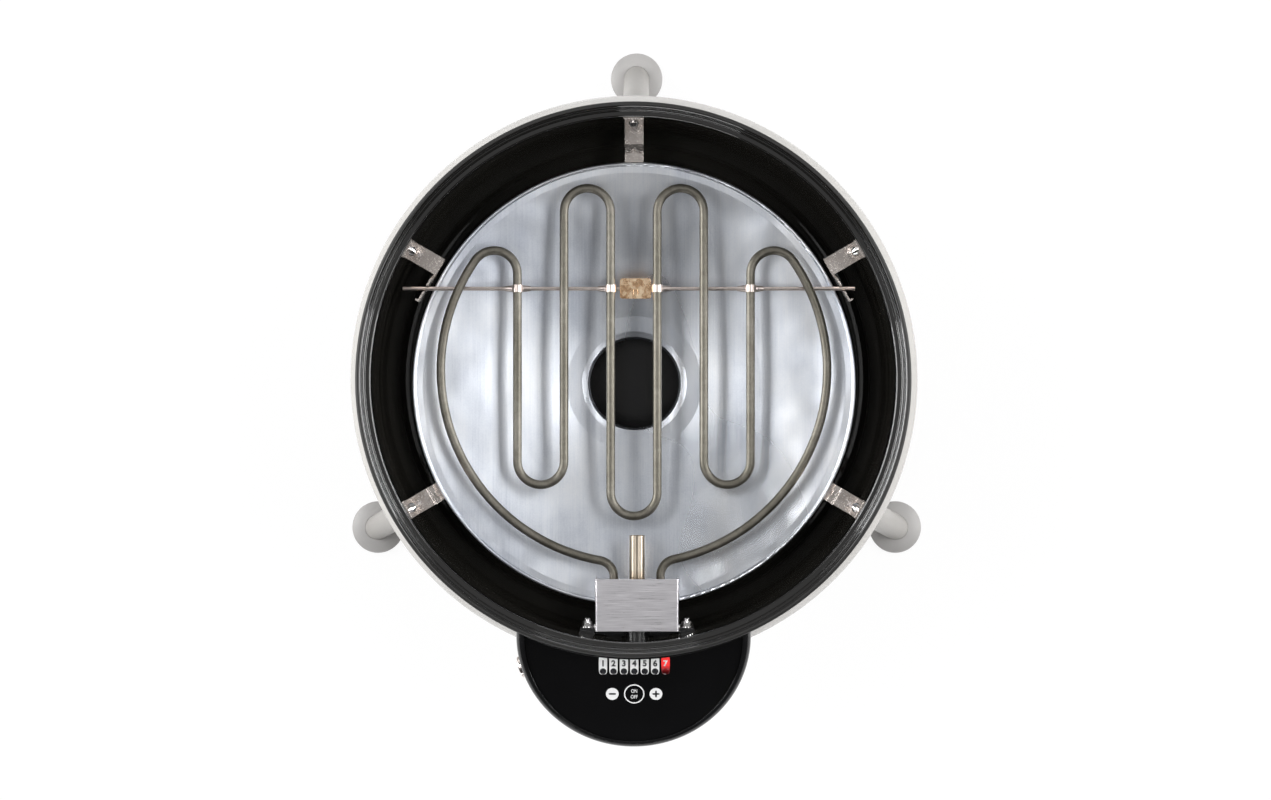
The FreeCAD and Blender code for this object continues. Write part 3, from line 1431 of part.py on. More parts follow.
save("heating_element", heating_element())
save("support_rod", support_rod())
save("rod_clamps", rod_clamps())
save("centre_tag", centre_tag())
save("terminal_box", terminal_box())
save("element_plate", element_plate())
save("ceramic_bushes", ceramic_bushes())
save("terminal_pins", terminal_pins())
save("probe_sleeve", probe_sleeve())
save("probe_bulb", probe_bulb())
save("hinge_pin", hinge_pin())

save("hinge_plate", hinge_plate())
save("flange_studs", flange_studs())
save("flange_washers", flange_washers())
save("flange_nuts", flange_nuts())
save("spacer_sleeves", spacer_sleeves())
save("lead_duct", lead_duct())
save("lead_grommet", lead_grommet())
save("supply_leads", supply_leads())

save("housing_cover", housing_cover())
save("housing_base", housing_base())
save("touch_glass", touch_glass())
save("housing_screws", housing_screws())
save("circuit_board", circuit_board())
save("level_lamps", level_lamps())
save("touch_pads", touch_pads())
save("heater_relay", block_under_board(relay_size, relay_at, relay_bevel))
save("supply_module", block_under_board(supply_size, supply_at, supply_bevel))
save("mains_inlet", mains_inlet())
save("inlet_pins", inlet_pins())
save("button_collar", button_collar())
save("side_button", side_button())
save("side_switch", side_switch())
save("button_spring", button_spring())

for leg_name, leg_angle in leg_angles.items():
    save("leg_" + leg_name, leg_tube(leg_angle))
    save("leg_socket_" + leg_name, leg_socket(leg_angle))
    save("foot_" + leg_name, foot(leg_angle))
save("leg_screws", leg_screws())

save("drip_tray", drip_tray())
save("tray_handle", tray_handle())
save("runner_left", runner(-1))
save("runner_right", runner(1))
save("runner_screws", runner_screws())
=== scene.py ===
import json
import math
import bpy
import numpy as np
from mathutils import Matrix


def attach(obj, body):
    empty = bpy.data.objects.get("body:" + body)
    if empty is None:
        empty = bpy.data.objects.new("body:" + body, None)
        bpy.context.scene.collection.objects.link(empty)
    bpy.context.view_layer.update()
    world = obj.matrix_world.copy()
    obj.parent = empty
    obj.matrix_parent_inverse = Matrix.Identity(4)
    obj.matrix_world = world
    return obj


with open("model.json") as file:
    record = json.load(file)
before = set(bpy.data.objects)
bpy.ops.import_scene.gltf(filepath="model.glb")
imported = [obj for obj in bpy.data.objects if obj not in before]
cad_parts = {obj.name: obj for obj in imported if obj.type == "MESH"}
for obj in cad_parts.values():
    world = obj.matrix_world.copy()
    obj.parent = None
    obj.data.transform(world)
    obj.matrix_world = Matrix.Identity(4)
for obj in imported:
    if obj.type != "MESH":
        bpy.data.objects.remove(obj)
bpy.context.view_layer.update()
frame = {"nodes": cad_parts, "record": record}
nodes = frame["nodes"]

# Lengths are in metres. The control disc's middle and its tilt about X, as in the frame
DISC_Y = -0.1985
DISC_Z = 0.2670
DISC_TILT = math.radians(14.5)

# The legend on the glass, placed by u across and v up the slope from the disc's middle
PRINT_T = 0.00006           # thickness of the print
LEVELS = 7
LEVEL_PITCH = 0.00797
LEVEL_U = 0.00055           # middle of the row
TAG_V = -0.0201
TAG_HALF_U = 0.0032
TAG_HALF_V = 0.0078
FADE_FOOT_V = -0.0262       # where the lit tag is darkest
FADE_HEAD_V = -0.0195       # and where it is full red
DIGIT_V = -0.0189
DIGIT_CAP = 0.0046          # height of the figures
DIGIT_SQUEEZE = 0.95
DIGIT_BOLD = 0.00026        # growth of their outlines
LAMP_V = -0.0255
LAMP_R = 0.0025
LAMP_DOME = 0.0005
KEY_V = -0.0440
KEY_R = 0.0049
MINUS_U = -0.0164
PLUS_U = 0.0171
STROKE_HALF_LENGTH = 0.0028
STROKE_HALF_WIDTH = 0.0007
POWER_U = 0.0004
POWER_R = 0.0078
POWER_LINE = 0.0009         # width of the ring's line
WORD_RISE = 0.0024          # ON above the key row, OFF below it
WORD_CAP = 0.0030
WORD_SQUEEZE = 0.72
WORD_BOLD = 0.00003
ELLIPSE = 2.0               # powers of the superellipses
TAG_POWER = 5.0
STROKE_POWER = 6.0

# The studio
FLOOR_HALF = 4.0
PAPER_WHITE = 0.93
GLOSSY_SHARE = 0.6          # of the floor's own white, in reflections
LAMP_AIM = (0.0, 0.0, 0.15)

# The photograph's camera, from the fit of its perspective
PHOTO_W = 1271              # pixels
PHOTO_H = 800
FOCAL_PX = 2307.7
AXIS_PX = (657.8, 366.6)    # the pixel that the camera's axis goes through
CAMERA_AT = (0.0185, 0.0098, 2.025)
SENSOR_MM = 36.0


def finish(name, colour, roughness, metallic=0.0, **even):
    """A finish whose even values sit on the shader's own sockets; patterns are linked in afterwards."""
    material = bpy.data.materials.new(name)
    material.use_nodes = True
    shader = shader_of(material)
    shader.inputs["Base Color"].default_value = (*colour, 1.0)
    shader.inputs["Roughness"].default_value = roughness
    shader.inputs["Metallic"].default_value = metallic
    for socket, value in even.items():
        shader.inputs[socket.replace("_", " ")].default_value = value
    return material


def shader_of(material):
    """The material's own shader."""
    return material.node_tree.nodes["Principled BSDF"]


def add_node(owner, kind, **settings):
    """A node in a material or world; a setting that starts with a capital is an input socket."""
    node = owner.node_tree.nodes.new(kind)
    for name, value in settings.items():
        if name[0].isupper():
            node.inputs[name.replace("_", " ")].default_value = value
        else:
            setattr(node, name, value)
    return node


def place(material, stretch=(1, 1, 1), turn=(0, 0, 0), shift=(0, 0, 0)):
    """Object coordinates in metres, stretched, turned and shifted."""
    coords = add_node(material, "ShaderNodeTexCoord")
    mapping = add_node(material, "ShaderNodeMapping", Scale=stretch, Rotation=turn, Location=shift)
    material.node_tree.links.new(coords.outputs["Object"], mapping.inputs["Vector"])
    return mapping.outputs["Vector"]


def grain(material, scale, detail, rough=0.55, distortion=0.0, **where):
    """Fractal noise with cells 1/scale metres across, 0 to 1."""
    noise = add_node(material, "ShaderNodeTexNoise", Scale=scale, Detail=detail, Roughness=rough,
                     Distortion=distortion)
    material.node_tree.links.new(place(material, **where), noise.inputs["Vector"])
    return noise.outputs["Fac"]


def spread(owner, pattern, low, high, start=0.3, stop=0.7, **settings):
    """The pattern from start to stop, mapped to low to high and held beyond."""
    node = add_node(owner, "ShaderNodeMapRange", From_Min=start, From_Max=stop, To_Min=low, To_Max=high,
                    **settings)
    owner.node_tree.links.new(pattern, node.inputs["Value"])
    return node.outputs["Result"]


def combine(owner, how, first, second):
    """Two patterns, or a pattern and a number, joined by one arithmetic step."""
    node = add_node(owner, "ShaderNodeMath", operation=how)
    for socket, value in zip(node.inputs, (first, second)):
        if isinstance(value, (int, float)):
            socket.default_value = value
        else:
            owner.node_tree.links.new(value, socket)
    return node.outputs["Value"]


def weighted(material, first, share, second, other_share):
    """The sum of two patterns, each times its share."""
    return combine(material, "ADD", combine(material, "MULTIPLY", first, share),
                   combine(material, "MULTIPLY", second, other_share))


def tint(material, pattern, *stops):
    """The pattern drives the colour through (position, colour) stops."""
    ramp = add_node(material, "ShaderNodeValToRGB")
    elements = ramp.color_ramp.elements
    while len(elements) < len(stops):
        elements.new(0.5)
    for element, (position, colour) in zip(elements, stops):
        element.position = position
        element.color = (*colour, 1.0)
    material.node_tree.links.new(pattern, ramp.inputs["Fac"])
    material.node_tree.links.new(ramp.outputs["Color"], shader_of(material).inputs["Base Color"])


def sheen_of(material, pattern, low, high):
    """The pattern drives the roughness between two values."""
    result = spread(material, pattern, low, high)
    material.node_tree.links.new(result, shader_of(material).inputs["Roughness"])


def relief(material, pattern, depth, over=None):
    """A bump of that depth in metres, over an earlier bump or soft edge."""
    bump = add_node(material, "ShaderNodeBump", Distance=depth)
    links = material.node_tree.links
    links.new(pattern, bump.inputs["Height"])
    if over is not None:
        links.new(over, bump.inputs["Normal"])
    links.new(bump.outputs["Normal"], shader_of(material).inputs["Normal"])
    return bump.outputs["Normal"]


def soft_edge(material, radius):
    """Sharp edges shade as if rounded to that radius."""
    bevel = add_node(material, "ShaderNodeBevel", samples=4, Radius=radius)
    material.node_tree.links.new(bevel.outputs["Normal"], shader_of(material).inputs["Normal"])
    return bevel.outputs["Normal"]


def radius_from(material, centre_x, centre_y):
    """Distance in metres from an upright line."""
    flat = place(material, stretch=(1, 1, 0), shift=(-centre_x, -centre_y, 0))
    length = add_node(material, "ShaderNodeVectorMath", operation="LENGTH")
    material.node_tree.links.new(flat, length.inputs[0])
    return length.outputs["Value"]


def along(material, axis):
    """One Object coordinate in metres."""
    split = add_node(material, "ShaderNodeSeparateXYZ")
    material.node_tree.links.new(place(material), split.inputs["Vector"])
    return split.outputs[axis]


def bowl_gloss(edge=0.0006):
    """Black gloss enamel under a clear fired coat, with painted light that makes it greyer down in the bowl,
    and dulled around the outside.
    """
    painted_light_below_z, black_above_z = 0.255, 0.276
    glossy_to_r, dull_from_r = 0.2068, 0.2074
    material = finish("bowl_enamel", (0.01, 0.01, 0.009), 0.08, IOR=1.52, Coat_Weight=1.0, Coat_IOR=1.6,
                      Coat_Roughness=0.02)
    # Painted light: the base colour goes from black at the rim to grey deep in the bowl, with a random mottle
    # laid over it
    depth = spread(material, along(material, "Z"), 1.0, 0.0, painted_light_below_z, black_above_z)
    tint(material, weighted(material, grain(material, 9.0, 3.0), 0.3, depth, 0.7),
         (0.08, (0.0055, 0.0052, 0.0047)), (0.22, (0.010, 0.0095, 0.0088)),
         (0.80, (0.026, 0.0245, 0.021)), (0.93, (0.036, 0.034, 0.029)))
    outside = spread(material, radius_from(material, 0.0, 0.0), 0.0, 1.0, glossy_to_r, dull_from_r)
    drift = combine(material, "MULTIPLY", grain(material, 22.0, 5.0), 0.12)
    sheen_of(material, combine(material, "ADD", drift, outside), 0.02, 0.55)
    edge_normal = soft_edge(material, edge) if edge else None
    peel = relief(material, grain(material, 120.0, 1.0), 0.000006, edge_normal)
    normal = relief(material, grain(material, 1700.0, 1.0), 0.000002, peel)
    shader = shader_of(material)
    links = material.node_tree.links
    links.new(normal, shader.inputs["Coat Normal"])
    links.new(combine(material, "SUBTRACT", 1.0, outside), shader.inputs["Coat Weight"])
    return material


def vitreous_enamel(name, dark, light, roughness):
    """Fired gloss enamel: a slow change of depth, fine orange peel and pin-point specks."""
    material = finish(name, light, roughness[0], IOR=1.52)
    tint(material, grain(material, 9.0, 3.0), (0.35, dark), (0.70, light))
    sheen_of(material, grain(material, 22.0, 5.0), *roughness)
    peel = relief(material, grain(material, 260.0, 2.0), 0.00006, soft_edge(material, 0.0006))
    relief(material, grain(material, 1700.0, 1.0), 0.000012, peel)
    return material


def plated_steel(name, dark, light):
    """Pressed and plated steel: cloudy brightness and a fine matt speckle, with its relief."""
    material = finish(name, light, 0.12, 1.0)
    cloud = grain(material, 60.0, 6.0, distortion=0.6)
    tint(material, cloud, (0.30, dark), (0.62, light))
    speckle = grain(material, 700.0, 3.0, 0.7)
    sheen_of(material, speckle, 0.12, 0.30)
    relief(material, speckle, 0.00003, soft_edge(material, 0.0005))
    return material


def bright_metal(name, colour, roughness=(0.10, 0.22), edge=0.0003, wear=0.72):
    """Bright plated small parts with faint handling marks."""
    material = finish(name, colour, roughness[0], 1.0)
    marks = grain(material, 420.0, 4.0, 0.65)
    tint(material, marks, (0.3, tuple(wear * c for c in colour)), (0.55, colour))
    sheen_of(material, marks, *roughness)
    relief(material, marks, 0.00001, soft_edge(material, edge))
    return material


def brushed_stainless(name, dark, light):
    """Sheet brushed along X: hair lines thousands to the metre across the grain."""
    material = finish(name, light, 0.24, 1.0)
    hair = grain(material, 1.0, 4.0, 0.7, stretch=(40.0, 2200.0, 2200.0))
    band = grain(material, 1.0, 4.0, 0.7, stretch=(16.0, 420.0, 420.0))
    both = weighted(material, hair, 0.8, band, 0.2)
    tint(material, both, (0.34, dark), (0.62, light))
    sheen_of(material, both, 0.24, 0.44)
    relief(material, hair, 0.00002, soft_edge(material, 0.0005))
    return material


def reflector_sheet():
    """Aluminised rolled sheet: rolling lines along Y, smears, clouds, slow waves, and dents near the rim."""
    centre_y = -0.0037
    even_to_r, dented_from_r = 0.10, 0.165
    material = finish("reflector_sheet", (0.66, 0.69, 0.74), 0.3, 1.0)
    cloud = grain(material, 8.0, 5.0, 0.58, distortion=0.4, shift=(0.31, 0.12, 0.0))
    smear = grain(material, 1.0, 5.0, 0.6, stretch=(26.0, 9.0, 9.0), turn=(0, 0, 0.9), distortion=0.2)
    rolled = grain(material, 1.0, 2.0, 0.5, stretch=(900.0, 18.0, 18.0))
    speck = grain(material, 800.0, 2.0, 0.6)
    slow = weighted(material, cloud, 0.6, smear, 0.4)
    fine = weighted(material, rolled, 0.12, speck, 0.10)
    look = combine(material, "ADD", combine(material, "MULTIPLY", slow, 0.86), fine)
    tint(material, look, (0.34, (0.52, 0.56, 0.65)), (0.50, (0.77, 0.805, 0.87)),
         (0.66, (0.94, 0.955, 0.98)))
    sheen_of(material, grain(material, 7.0, 0.0, shift=(0.1, 0.4, 0.0)), 0.25, 0.37)
    rim_zone = spread(material, radius_from(material, 0.0, centre_y), 0.0, 1.0, even_to_r, dented_from_r)
    dents = combine(material, "MULTIPLY", grain(material, 26.0, 1.0, 0.4), rim_zone)
    normal = relief(material, dents, 0.0020, soft_edge(material, 0.0006))
    normal = relief(material, grain(material, 13.0, 1.0), 0.0016, normal)
    relief(material, fine, 0.00001, normal)
    return material


def element_sheath():
    """Oxidised alloy tube: olive-grey scale, paler rubbed patches, dull sheen."""
    material = finish("element_sheath", (0.15, 0.14, 0.12), 0.42, 0.85)
    scale = grain(material, 130.0, 6.0, 0.7, distortion=0.5)
    patch = grain(material, 12.0, 4.0, 0.6)
    both = weighted(material, scale, 0.45, patch, 0.55)
    tint(material, both, (0.34, (0.105, 0.098, 0.078)), (0.50, (0.17, 0.158, 0.132)),
         (0.64, (0.25, 0.235, 0.205)))
    sheen_of(material, both, 0.36, 0.52)
    relief(material, grain(material, 1500.0, 2.0), 0.00003)
    return material


def tinted_probe():
    """Stainless sleeve drawn along Y, straw at its open end and dark brown towards the box."""
    brown_to_y, straw_from_y = -0.160, -0.1445
    material = finish("probe_steel", (0.60, 0.54, 0.44), 0.28, 1.0)
    hair = grain(material, 1.0, 3.0, 0.6, stretch=(1800.0, 12.0, 1800.0))
    heat = spread(material, along(material, "Y"), 0.0, 1.0, brown_to_y, straw_from_y)
    tint(material, weighted(material, hair, 0.18, heat, 0.82),
         (0.05, (0.05, 0.035, 0.022)), (0.30, (0.16, 0.12, 0.08)), (0.80, (0.36, 0.31, 0.25)))
    sheen_of(material, hair, 0.26, 0.42)
    relief(material, hair, 0.00002, soft_edge(material, 0.0003))
    return material


def pressed_copper():
    """Copper alloy tag, warm and slightly tarnished in its hollows."""
    material = finish("tag_copper", (0.74, 0.50, 0.36), 0.28, 1.0)
    stain = grain(material, 240.0, 5.0, 0.65, distortion=0.7)
    tint(material, stain, (0.30, (0.56, 0.32, 0.17)), (0.46, (0.82, 0.53, 0.31)),
         (0.62, (0.95, 0.74, 0.52)))
    sheen_of(material, stain, 0.18, 0.38)
    relief(material, stain, 0.00005, soft_edge(material, 0.0004))
    return material


def moulded(name, dark, light, roughness=(0.3, 0.45), texture=900.0, depth=0.00003, edge=0.0006):
    """Moulded plastic: an even colour with a slow drift and a fine spark-eroded texture."""
    material = finish(name, light, roughness[0])
    tint(material, grain(material, 14.0, 3.0), (0.35, dark), (0.65, light))
    fine = grain(material, texture, 3.0, 0.6)
    sheen_of(material, fine, *roughness)
    relief(material, fine, depth, soft_edge(material, edge))
    return material


def laminate():
    """Green board laminate with its woven glass just showing."""
    material = finish("board_laminate", (0.03, 0.16, 0.07), 0.4)
    weave = combine(material, "MULTIPLY", grain(material, 1.0, 0.0, stretch=(1500.0, 60.0, 60.0)),
                    grain(material, 1.0, 0.0, stretch=(60.0, 1500.0, 60.0)))
    tint(material, weave, (0.12, (0.02, 0.12, 0.05)), (0.40, (0.05, 0.22, 0.10)))
    sheen_of(material, weave, 0.3, 0.5)
    relief(material, weave, 0.00002)
    return material


# One finish for each material slot of the record: darker colour, lighter colour, roughness, texture
finishes = {
    "bowl_enamel": bowl_gloss(),
    "shell_enamel": vitreous_enamel("shell_enamel", (0.37, 0.353, 0.328), (0.42, 0.402, 0.376),
                                    (0.16, 0.26)),
    "spout_steel": vitreous_enamel("spout_enamel", (0.012, 0.012, 0.013), (0.024, 0.024, 0.025),
                                   (0.2, 0.34)),
    "bracket_plating": plated_steel("bracket_plating", (0.62, 0.56, 0.52), (0.92, 0.85, 0.80)),
    "bright_screw": bright_metal("bright_screw", (0.80, 0.79, 0.78)),
    "reflector_sheet": reflector_sheet(),
    "element_sheath": element_sheath(),
    "rod_steel": bright_metal("rod_steel", (0.64, 0.56, 0.52), (0.28, 0.34), wear=0.90),
    "tag_copper": pressed_copper(),
    "box_stainless": brushed_stainless("box_stainless", (0.62, 0.605, 0.63), (0.86, 0.84, 0.87)),
    "white_ceramic": moulded("white_ceramic", (0.74, 0.71, 0.64), (0.86, 0.84, 0.78),
                             (0.5, 0.7), 500.0, 0.00004),
    "probe_steel": tinted_probe(),
    "lead_rubber": moulded("lead_rubber", (0.018, 0.018, 0.018), (0.035, 0.035, 0.035),
                           (0.5, 0.65), 1200.0),
    "housing_gloss": moulded("housing_gloss", (0.005, 0.005, 0.0055), (0.009, 0.009, 0.0095),
                             (0.09, 0.16), 500.0, 0.000006),
    "housing_matt": moulded("housing_matt", (0.016, 0.016, 0.017), (0.028, 0.028, 0.029),
                            (0.42, 0.58), 1100.0, 0.00005),
    "touch_glass": moulded("touch_glass", (0.0028, 0.0028, 0.003), (0.004, 0.004, 0.0044),
                           (0.03, 0.06), 40.0, 0.000004, 0.0005),
    "board_laminate": laminate(),
    "lamp_window": moulded("lamp_window", (0.70, 0.70, 0.70), (0.82, 0.82, 0.82), (0.18, 0.3)),
    "pad_metal": bright_metal("pad_metal", (0.80, 0.70, 0.45)),
    "relay_case": moulded("relay_case", (0.02, 0.02, 0.022), (0.04, 0.04, 0.043), (0.35, 0.5)),
    "button_chrome": bright_metal("button_chrome", (0.88, 0.81, 0.78), (0.12, 0.26), 0.0006),
    "leg_paint": moulded("leg_paint", (0.30, 0.288, 0.273), (0.35, 0.338, 0.322),
                         (0.28, 0.42), 1500.0, 0.00002),
    "socket_plastic": moulded("socket_plastic", (0.40, 0.39, 0.38), (0.47, 0.455, 0.44), (0.4, 0.55)),
    "foot_plastic": moulded("foot_plastic", (0.33, 0.322, 0.318), (0.39, 0.38, 0.372), (0.42, 0.56)),
    "tray_enamel": vitreous_enamel("tray_enamel", (0.008, 0.008, 0.009), (0.018, 0.018, 0.019),
                                   (0.12, 0.24)),
    "handle_wire": bright_metal("handle_wire", (0.80, 0.80, 0.80), (0.10, 0.2)),
    "runner_steel": vitreous_enamel("runner_enamel", (0.014, 0.014, 0.015), (0.028, 0.028, 0.03),
                                    (0.25, 0.4)),
}

for part in frame["record"]["subparts"]:
    solid = nodes[part["node"]]
    solid.data.materials.clear()
    solid.data.materials.append(finishes[part["material_slot"]])

# Painted shade: the duct and the hinge plate get the black enamel so that the shaded gap behind the box stays
# dark
for name in ("lead_duct", "hinge_plate"):
    nodes[name].data.materials[0] = finishes["runner_steel"]


def on_glass(u, v, n):
    """(u, v, n) across, up-slope and above the glass, turned by the disc's tilt and set at its middle."""
    y = DISC_Y + v * math.cos(DISC_TILT) - n * math.sin(DISC_TILT)
    z = DISC_Z + v * math.sin(DISC_TILT) + n * math.cos(DISC_TILT)
    return np.stack([u + 0 * v, y, z], axis=-1)


def finished_piece(name, mesh, material):
    """The mesh as a piece on the grill's body, with its material and slot."""
    mesh.materials.append(material)
    piece = bpy.data.objects.new(name, mesh)
    bpy.context.scene.collection.objects.link(piece)
    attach(piece, "grill")
    return piece


def grid_piece(name, points, material):
    """A mesh from points[i, j]: quads between neighbours, closed along the second index."""
    rows, columns = points.shape[:2]
    here = np.arange(rows * columns).reshape(rows, columns)
    ahead = np.roll(here, -1, axis=1)
    faces = np.stack([here[:-1], ahead[:-1], ahead[1:], here[1:]], axis=-1).reshape(-1, 4)
    mesh = bpy.data.meshes.new(name)
    mesh.from_pydata(points.reshape(-1, 3).tolist(), [], faces.tolist())
    mesh.update()
    return finished_piece(name, mesh, material)


def arc(r, z, radius, start, end, count):
    """Points (r + R cos a, z + R sin a) of a section, a from start to end in degrees."""
    angle = np.radians(np.linspace(start, end, count))
    return np.stack([r + radius * np.cos(angle), z + radius * np.sin(angle)], axis=-1)


def rim_skin():
    """The rim's enamel as a true surface of revolution, from the outside over the bead and both steps.

    Point (i, j) is (r_i cos t_j, r_i sin t_j, z_i). (r_i, z_i) runs along the rim's section: lines, and
    arcs c + R (cos a, sin a) about the bead and the two step edges, all lifted off the solid.
    """
    lift = 0.00006
    rim_r = 0.2100
    bead_r, step_r = 0.0022, 0.0012
    upper_z, lower_z = 0.2796, 0.2764           # the two steps' flats
    wall_r = 0.1994                             # the bowl's wall below them
    section = np.concatenate([
        [(rim_r, 0.2750), (rim_r + lift, 0.2754), (rim_r + lift, 0.2820)],
        arc(0.2078, 0.2828, bead_r + lift, 0, 180, 33),
        [(0.2054 - lift, 0.2800 + lift), (0.20525, upper_z + lift), (0.2050, upper_z + lift)],
        arc(0.2048, 0.2784, step_r + lift, 90, 180, 17),
        [(0.2034 - lift, 0.2768 + lift), (0.20325 - lift, lower_z + lift), (0.2030, lower_z + lift),
         (0.2010, lower_z + lift)],
        arc(0.2006, 0.2752, step_r + lift, 90, 180, 17),
        [(wall_r - lift, 0.2740), (wall_r - lift, 0.2700), (wall_r, 0.2690)]])
    turn = np.linspace(0.0, 2 * np.pi, 721)[:-1]
    r, z = section[:, 0, None], section[:, 1, None]
    points = np.stack([r * np.cos(turn), r * np.sin(turn), z + 0 * turn], axis=-1)
    piece = grid_piece("rim_skin", points, bowl_gloss(None))
    piece.data.shade_smooth()


def plate_outline(theta, half_u, half_v, power):
    """Superellipse |u/a|^p + |v/b|^p = 1 at each angle; p 2 is an ellipse and 6 a rounded oblong."""
    c, s = np.cos(theta), np.sin(theta)
    reach = (np.abs(c / half_u) ** power + np.abs(s / half_v) ** power) ** (-1.0 / power)
    return reach * c, reach * s


def printed_plate(name, u, v, half_u, half_v, material, power=ELLIPSE, around=72, lift=0.0, dome=0.0):
    """Rings from the middle to a superellipse's edge, height t + dome (1 - rho^2), then down to the glass."""
    theta = np.linspace(0.0, 2 * math.pi, around, endpoint=False)
    out_u, out_v = plate_outline(theta, half_u, half_v, power)
    rho = np.array([0.0005, 0.35, 0.7, 0.9, 1.0, 1.0])[:, None]
    height = lift + PRINT_T + dome * (1.0 - rho ** 2)
    height[-1] = 0.0
    points = on_glass(u + rho * out_u, v + rho * out_v, height + 0 * rho * out_u)
    return grid_piece(name, points, material)


def printed_ring(name, u, v, outer, line, material, around=96):
    """A flat band between two circles: a profile up, across and down carried round theta."""
    theta = np.linspace(0.0, 2 * math.pi, around, endpoint=False)
    inset = np.array([0.0, 0.0, line, line])[:, None]
    height = np.array([0.0, PRINT_T, PRINT_T, 0.0])[:, None]
    points = on_glass(u + (outer - inset) * np.cos(theta), v + (outer - inset) * np.sin(theta),
                      height + 0 * inset * theta)
    return grid_piece(name, points, material)


def printed_text(name, words, u, v, cap, material, squeeze, lift, bold):
    """Letters from the built-in face, cap high, squeezed in width and laid on the glass, with a thickness."""
    curve = bpy.data.curves.new(name, "FONT")
    curve.body = words
    curve.align_x = "CENTER"
    curve.align_y = "CENTER"
    curve.size = cap / 0.70                     # the face's capitals are 0.70 of its size
    curve.offset = bold
    curve.resolution_u = 6
    letters = bpy.data.objects.new(name + "_outline", curve)
    bpy.context.scene.collection.objects.link(letters)
    bpy.context.view_layer.update()
    mesh = bpy.data.meshes.new_from_object(letters.evaluated_get(bpy.context.evaluated_depsgraph_get()))
    bpy.data.objects.remove(letters)
    co = np.zeros(len(mesh.vertices) * 3)
    mesh.vertices.foreach_get("co", co)
    co = co.reshape(-1, 3)
    middle = (co.min(axis=0) + co.max(axis=0)) / 2
    placed = on_glass(u + (co[:, 0] - middle[0]) * squeeze, v + co[:, 1] - middle[1],
                      lift + PRINT_T + 0 * co[:, 0])
    mesh.vertices.foreach_set("co", placed.ravel())
    mesh.update()
    mesh.materials.clear()
    piece = finished_piece(name, mesh, material)
    wall = piece.modifiers.new("thickness", "SOLIDIFY")
    wall.thickness = PRINT_T
    wall.offset = 1.0
    return piece


def ink(name, colour, roughness=0.5):
    """Screen print: an even colour with the faintest mottle."""
    material = finish(name, colour, roughness)
    tint(material, grain(material, 1500.0, 2.0), (0.3, tuple(0.94 * c for c in colour)), (0.6, colour))
    return material


def lit_red(name, roughness, strength):
    """Red print over a lit lamp: full at the tag's head and fading to dark red at its foot."""
    material = ink(name, (0.85, 0.03, 0.03), roughness)
    shader = shader_of(material)
    foot, head = (DISC_Y + v * math.cos(DISC_TILT) for v in (FADE_FOOT_V, FADE_HEAD_V))
    tint(material, spread(material, along(material, "Y"), 0.0, 1.0, foot, head),
         (0.0, (0.05, 0.002, 0.003)), (0.35, (0.20, 0.006, 0.008)), (1.0, (0.85, 0.03, 0.03)))
    colour = shader.inputs["Base Color"].links[0].from_socket
    material.node_tree.links.new(colour, shader.inputs["Emission Color"])
    shader.inputs["Emission Strength"].default_value = strength
    return material


def legend():
    """The seven level marks, the highest one lit, over the minus, on/off and plus keys."""
    white_ink = ink("white_print", (0.86, 0.86, 0.86))
    black_ink = ink("black_print", (0.02, 0.02, 0.022))
    lamp_dark = finish("unlit_lamp", (0.012, 0.012, 0.014), 0.12)
    tint(lamp_dark, grain(lamp_dark, 600.0, 2.0), (0.3, (0.01, 0.01, 0.012)), (0.7, (0.03, 0.03, 0.034)))
    red_ink = lit_red("lit_red_print", 0.5, 0.5)
    red_lamp = lit_red("lit_red_lamp", 0.12, 0.1)

    for level in range(1, LEVELS + 1):
        u = LEVEL_U + (level - 1 - (LEVELS - 1) / 2) * LEVEL_PITCH
        lit = level == LEVELS
        tag, figure, lamp = (red_ink, white_ink, red_lamp) if lit else (white_ink, black_ink, lamp_dark)
        printed_plate("level_tag_%d" % level, u, TAG_V, TAG_HALF_U, TAG_HALF_V, tag, TAG_POWER)
        printed_text("level_digit_%d" % level, str(level), u, DIGIT_V, DIGIT_CAP, figure,
                     DIGIT_SQUEEZE, PRINT_T, DIGIT_BOLD)
        printed_plate("level_lamp_%d" % level, u, LAMP_V, LAMP_R, LAMP_R, lamp, lift=PRINT_T,
                      dome=LAMP_DOME, around=40)

    strokes = {"bar": (STROKE_HALF_LENGTH, STROKE_HALF_WIDTH),
               "post": (STROKE_HALF_WIDTH, STROKE_HALF_LENGTH)}
    for key, u, sign in (("minus_key", MINUS_U, ("bar",)), ("plus_key", PLUS_U, ("bar", "post"))):
        printed_plate(key, u, KEY_V, KEY_R, KEY_R, white_ink)
        for stroke in sign:
            printed_plate(key + "_" + stroke, u, KEY_V, *strokes[stroke], black_ink, STROKE_POWER, 24,
                          PRINT_T)
    printed_ring("power_key_ring", POWER_U, KEY_V, POWER_R, POWER_LINE, white_ink)
    for word, rise in (("ON", WORD_RISE), ("OFF", -WORD_RISE)):
        printed_text("power_key_" + word.lower(), word, POWER_U, KEY_V + rise, WORD_CAP, white_ink,
                     WORD_SQUEEZE, 0.0, WORD_BOLD)


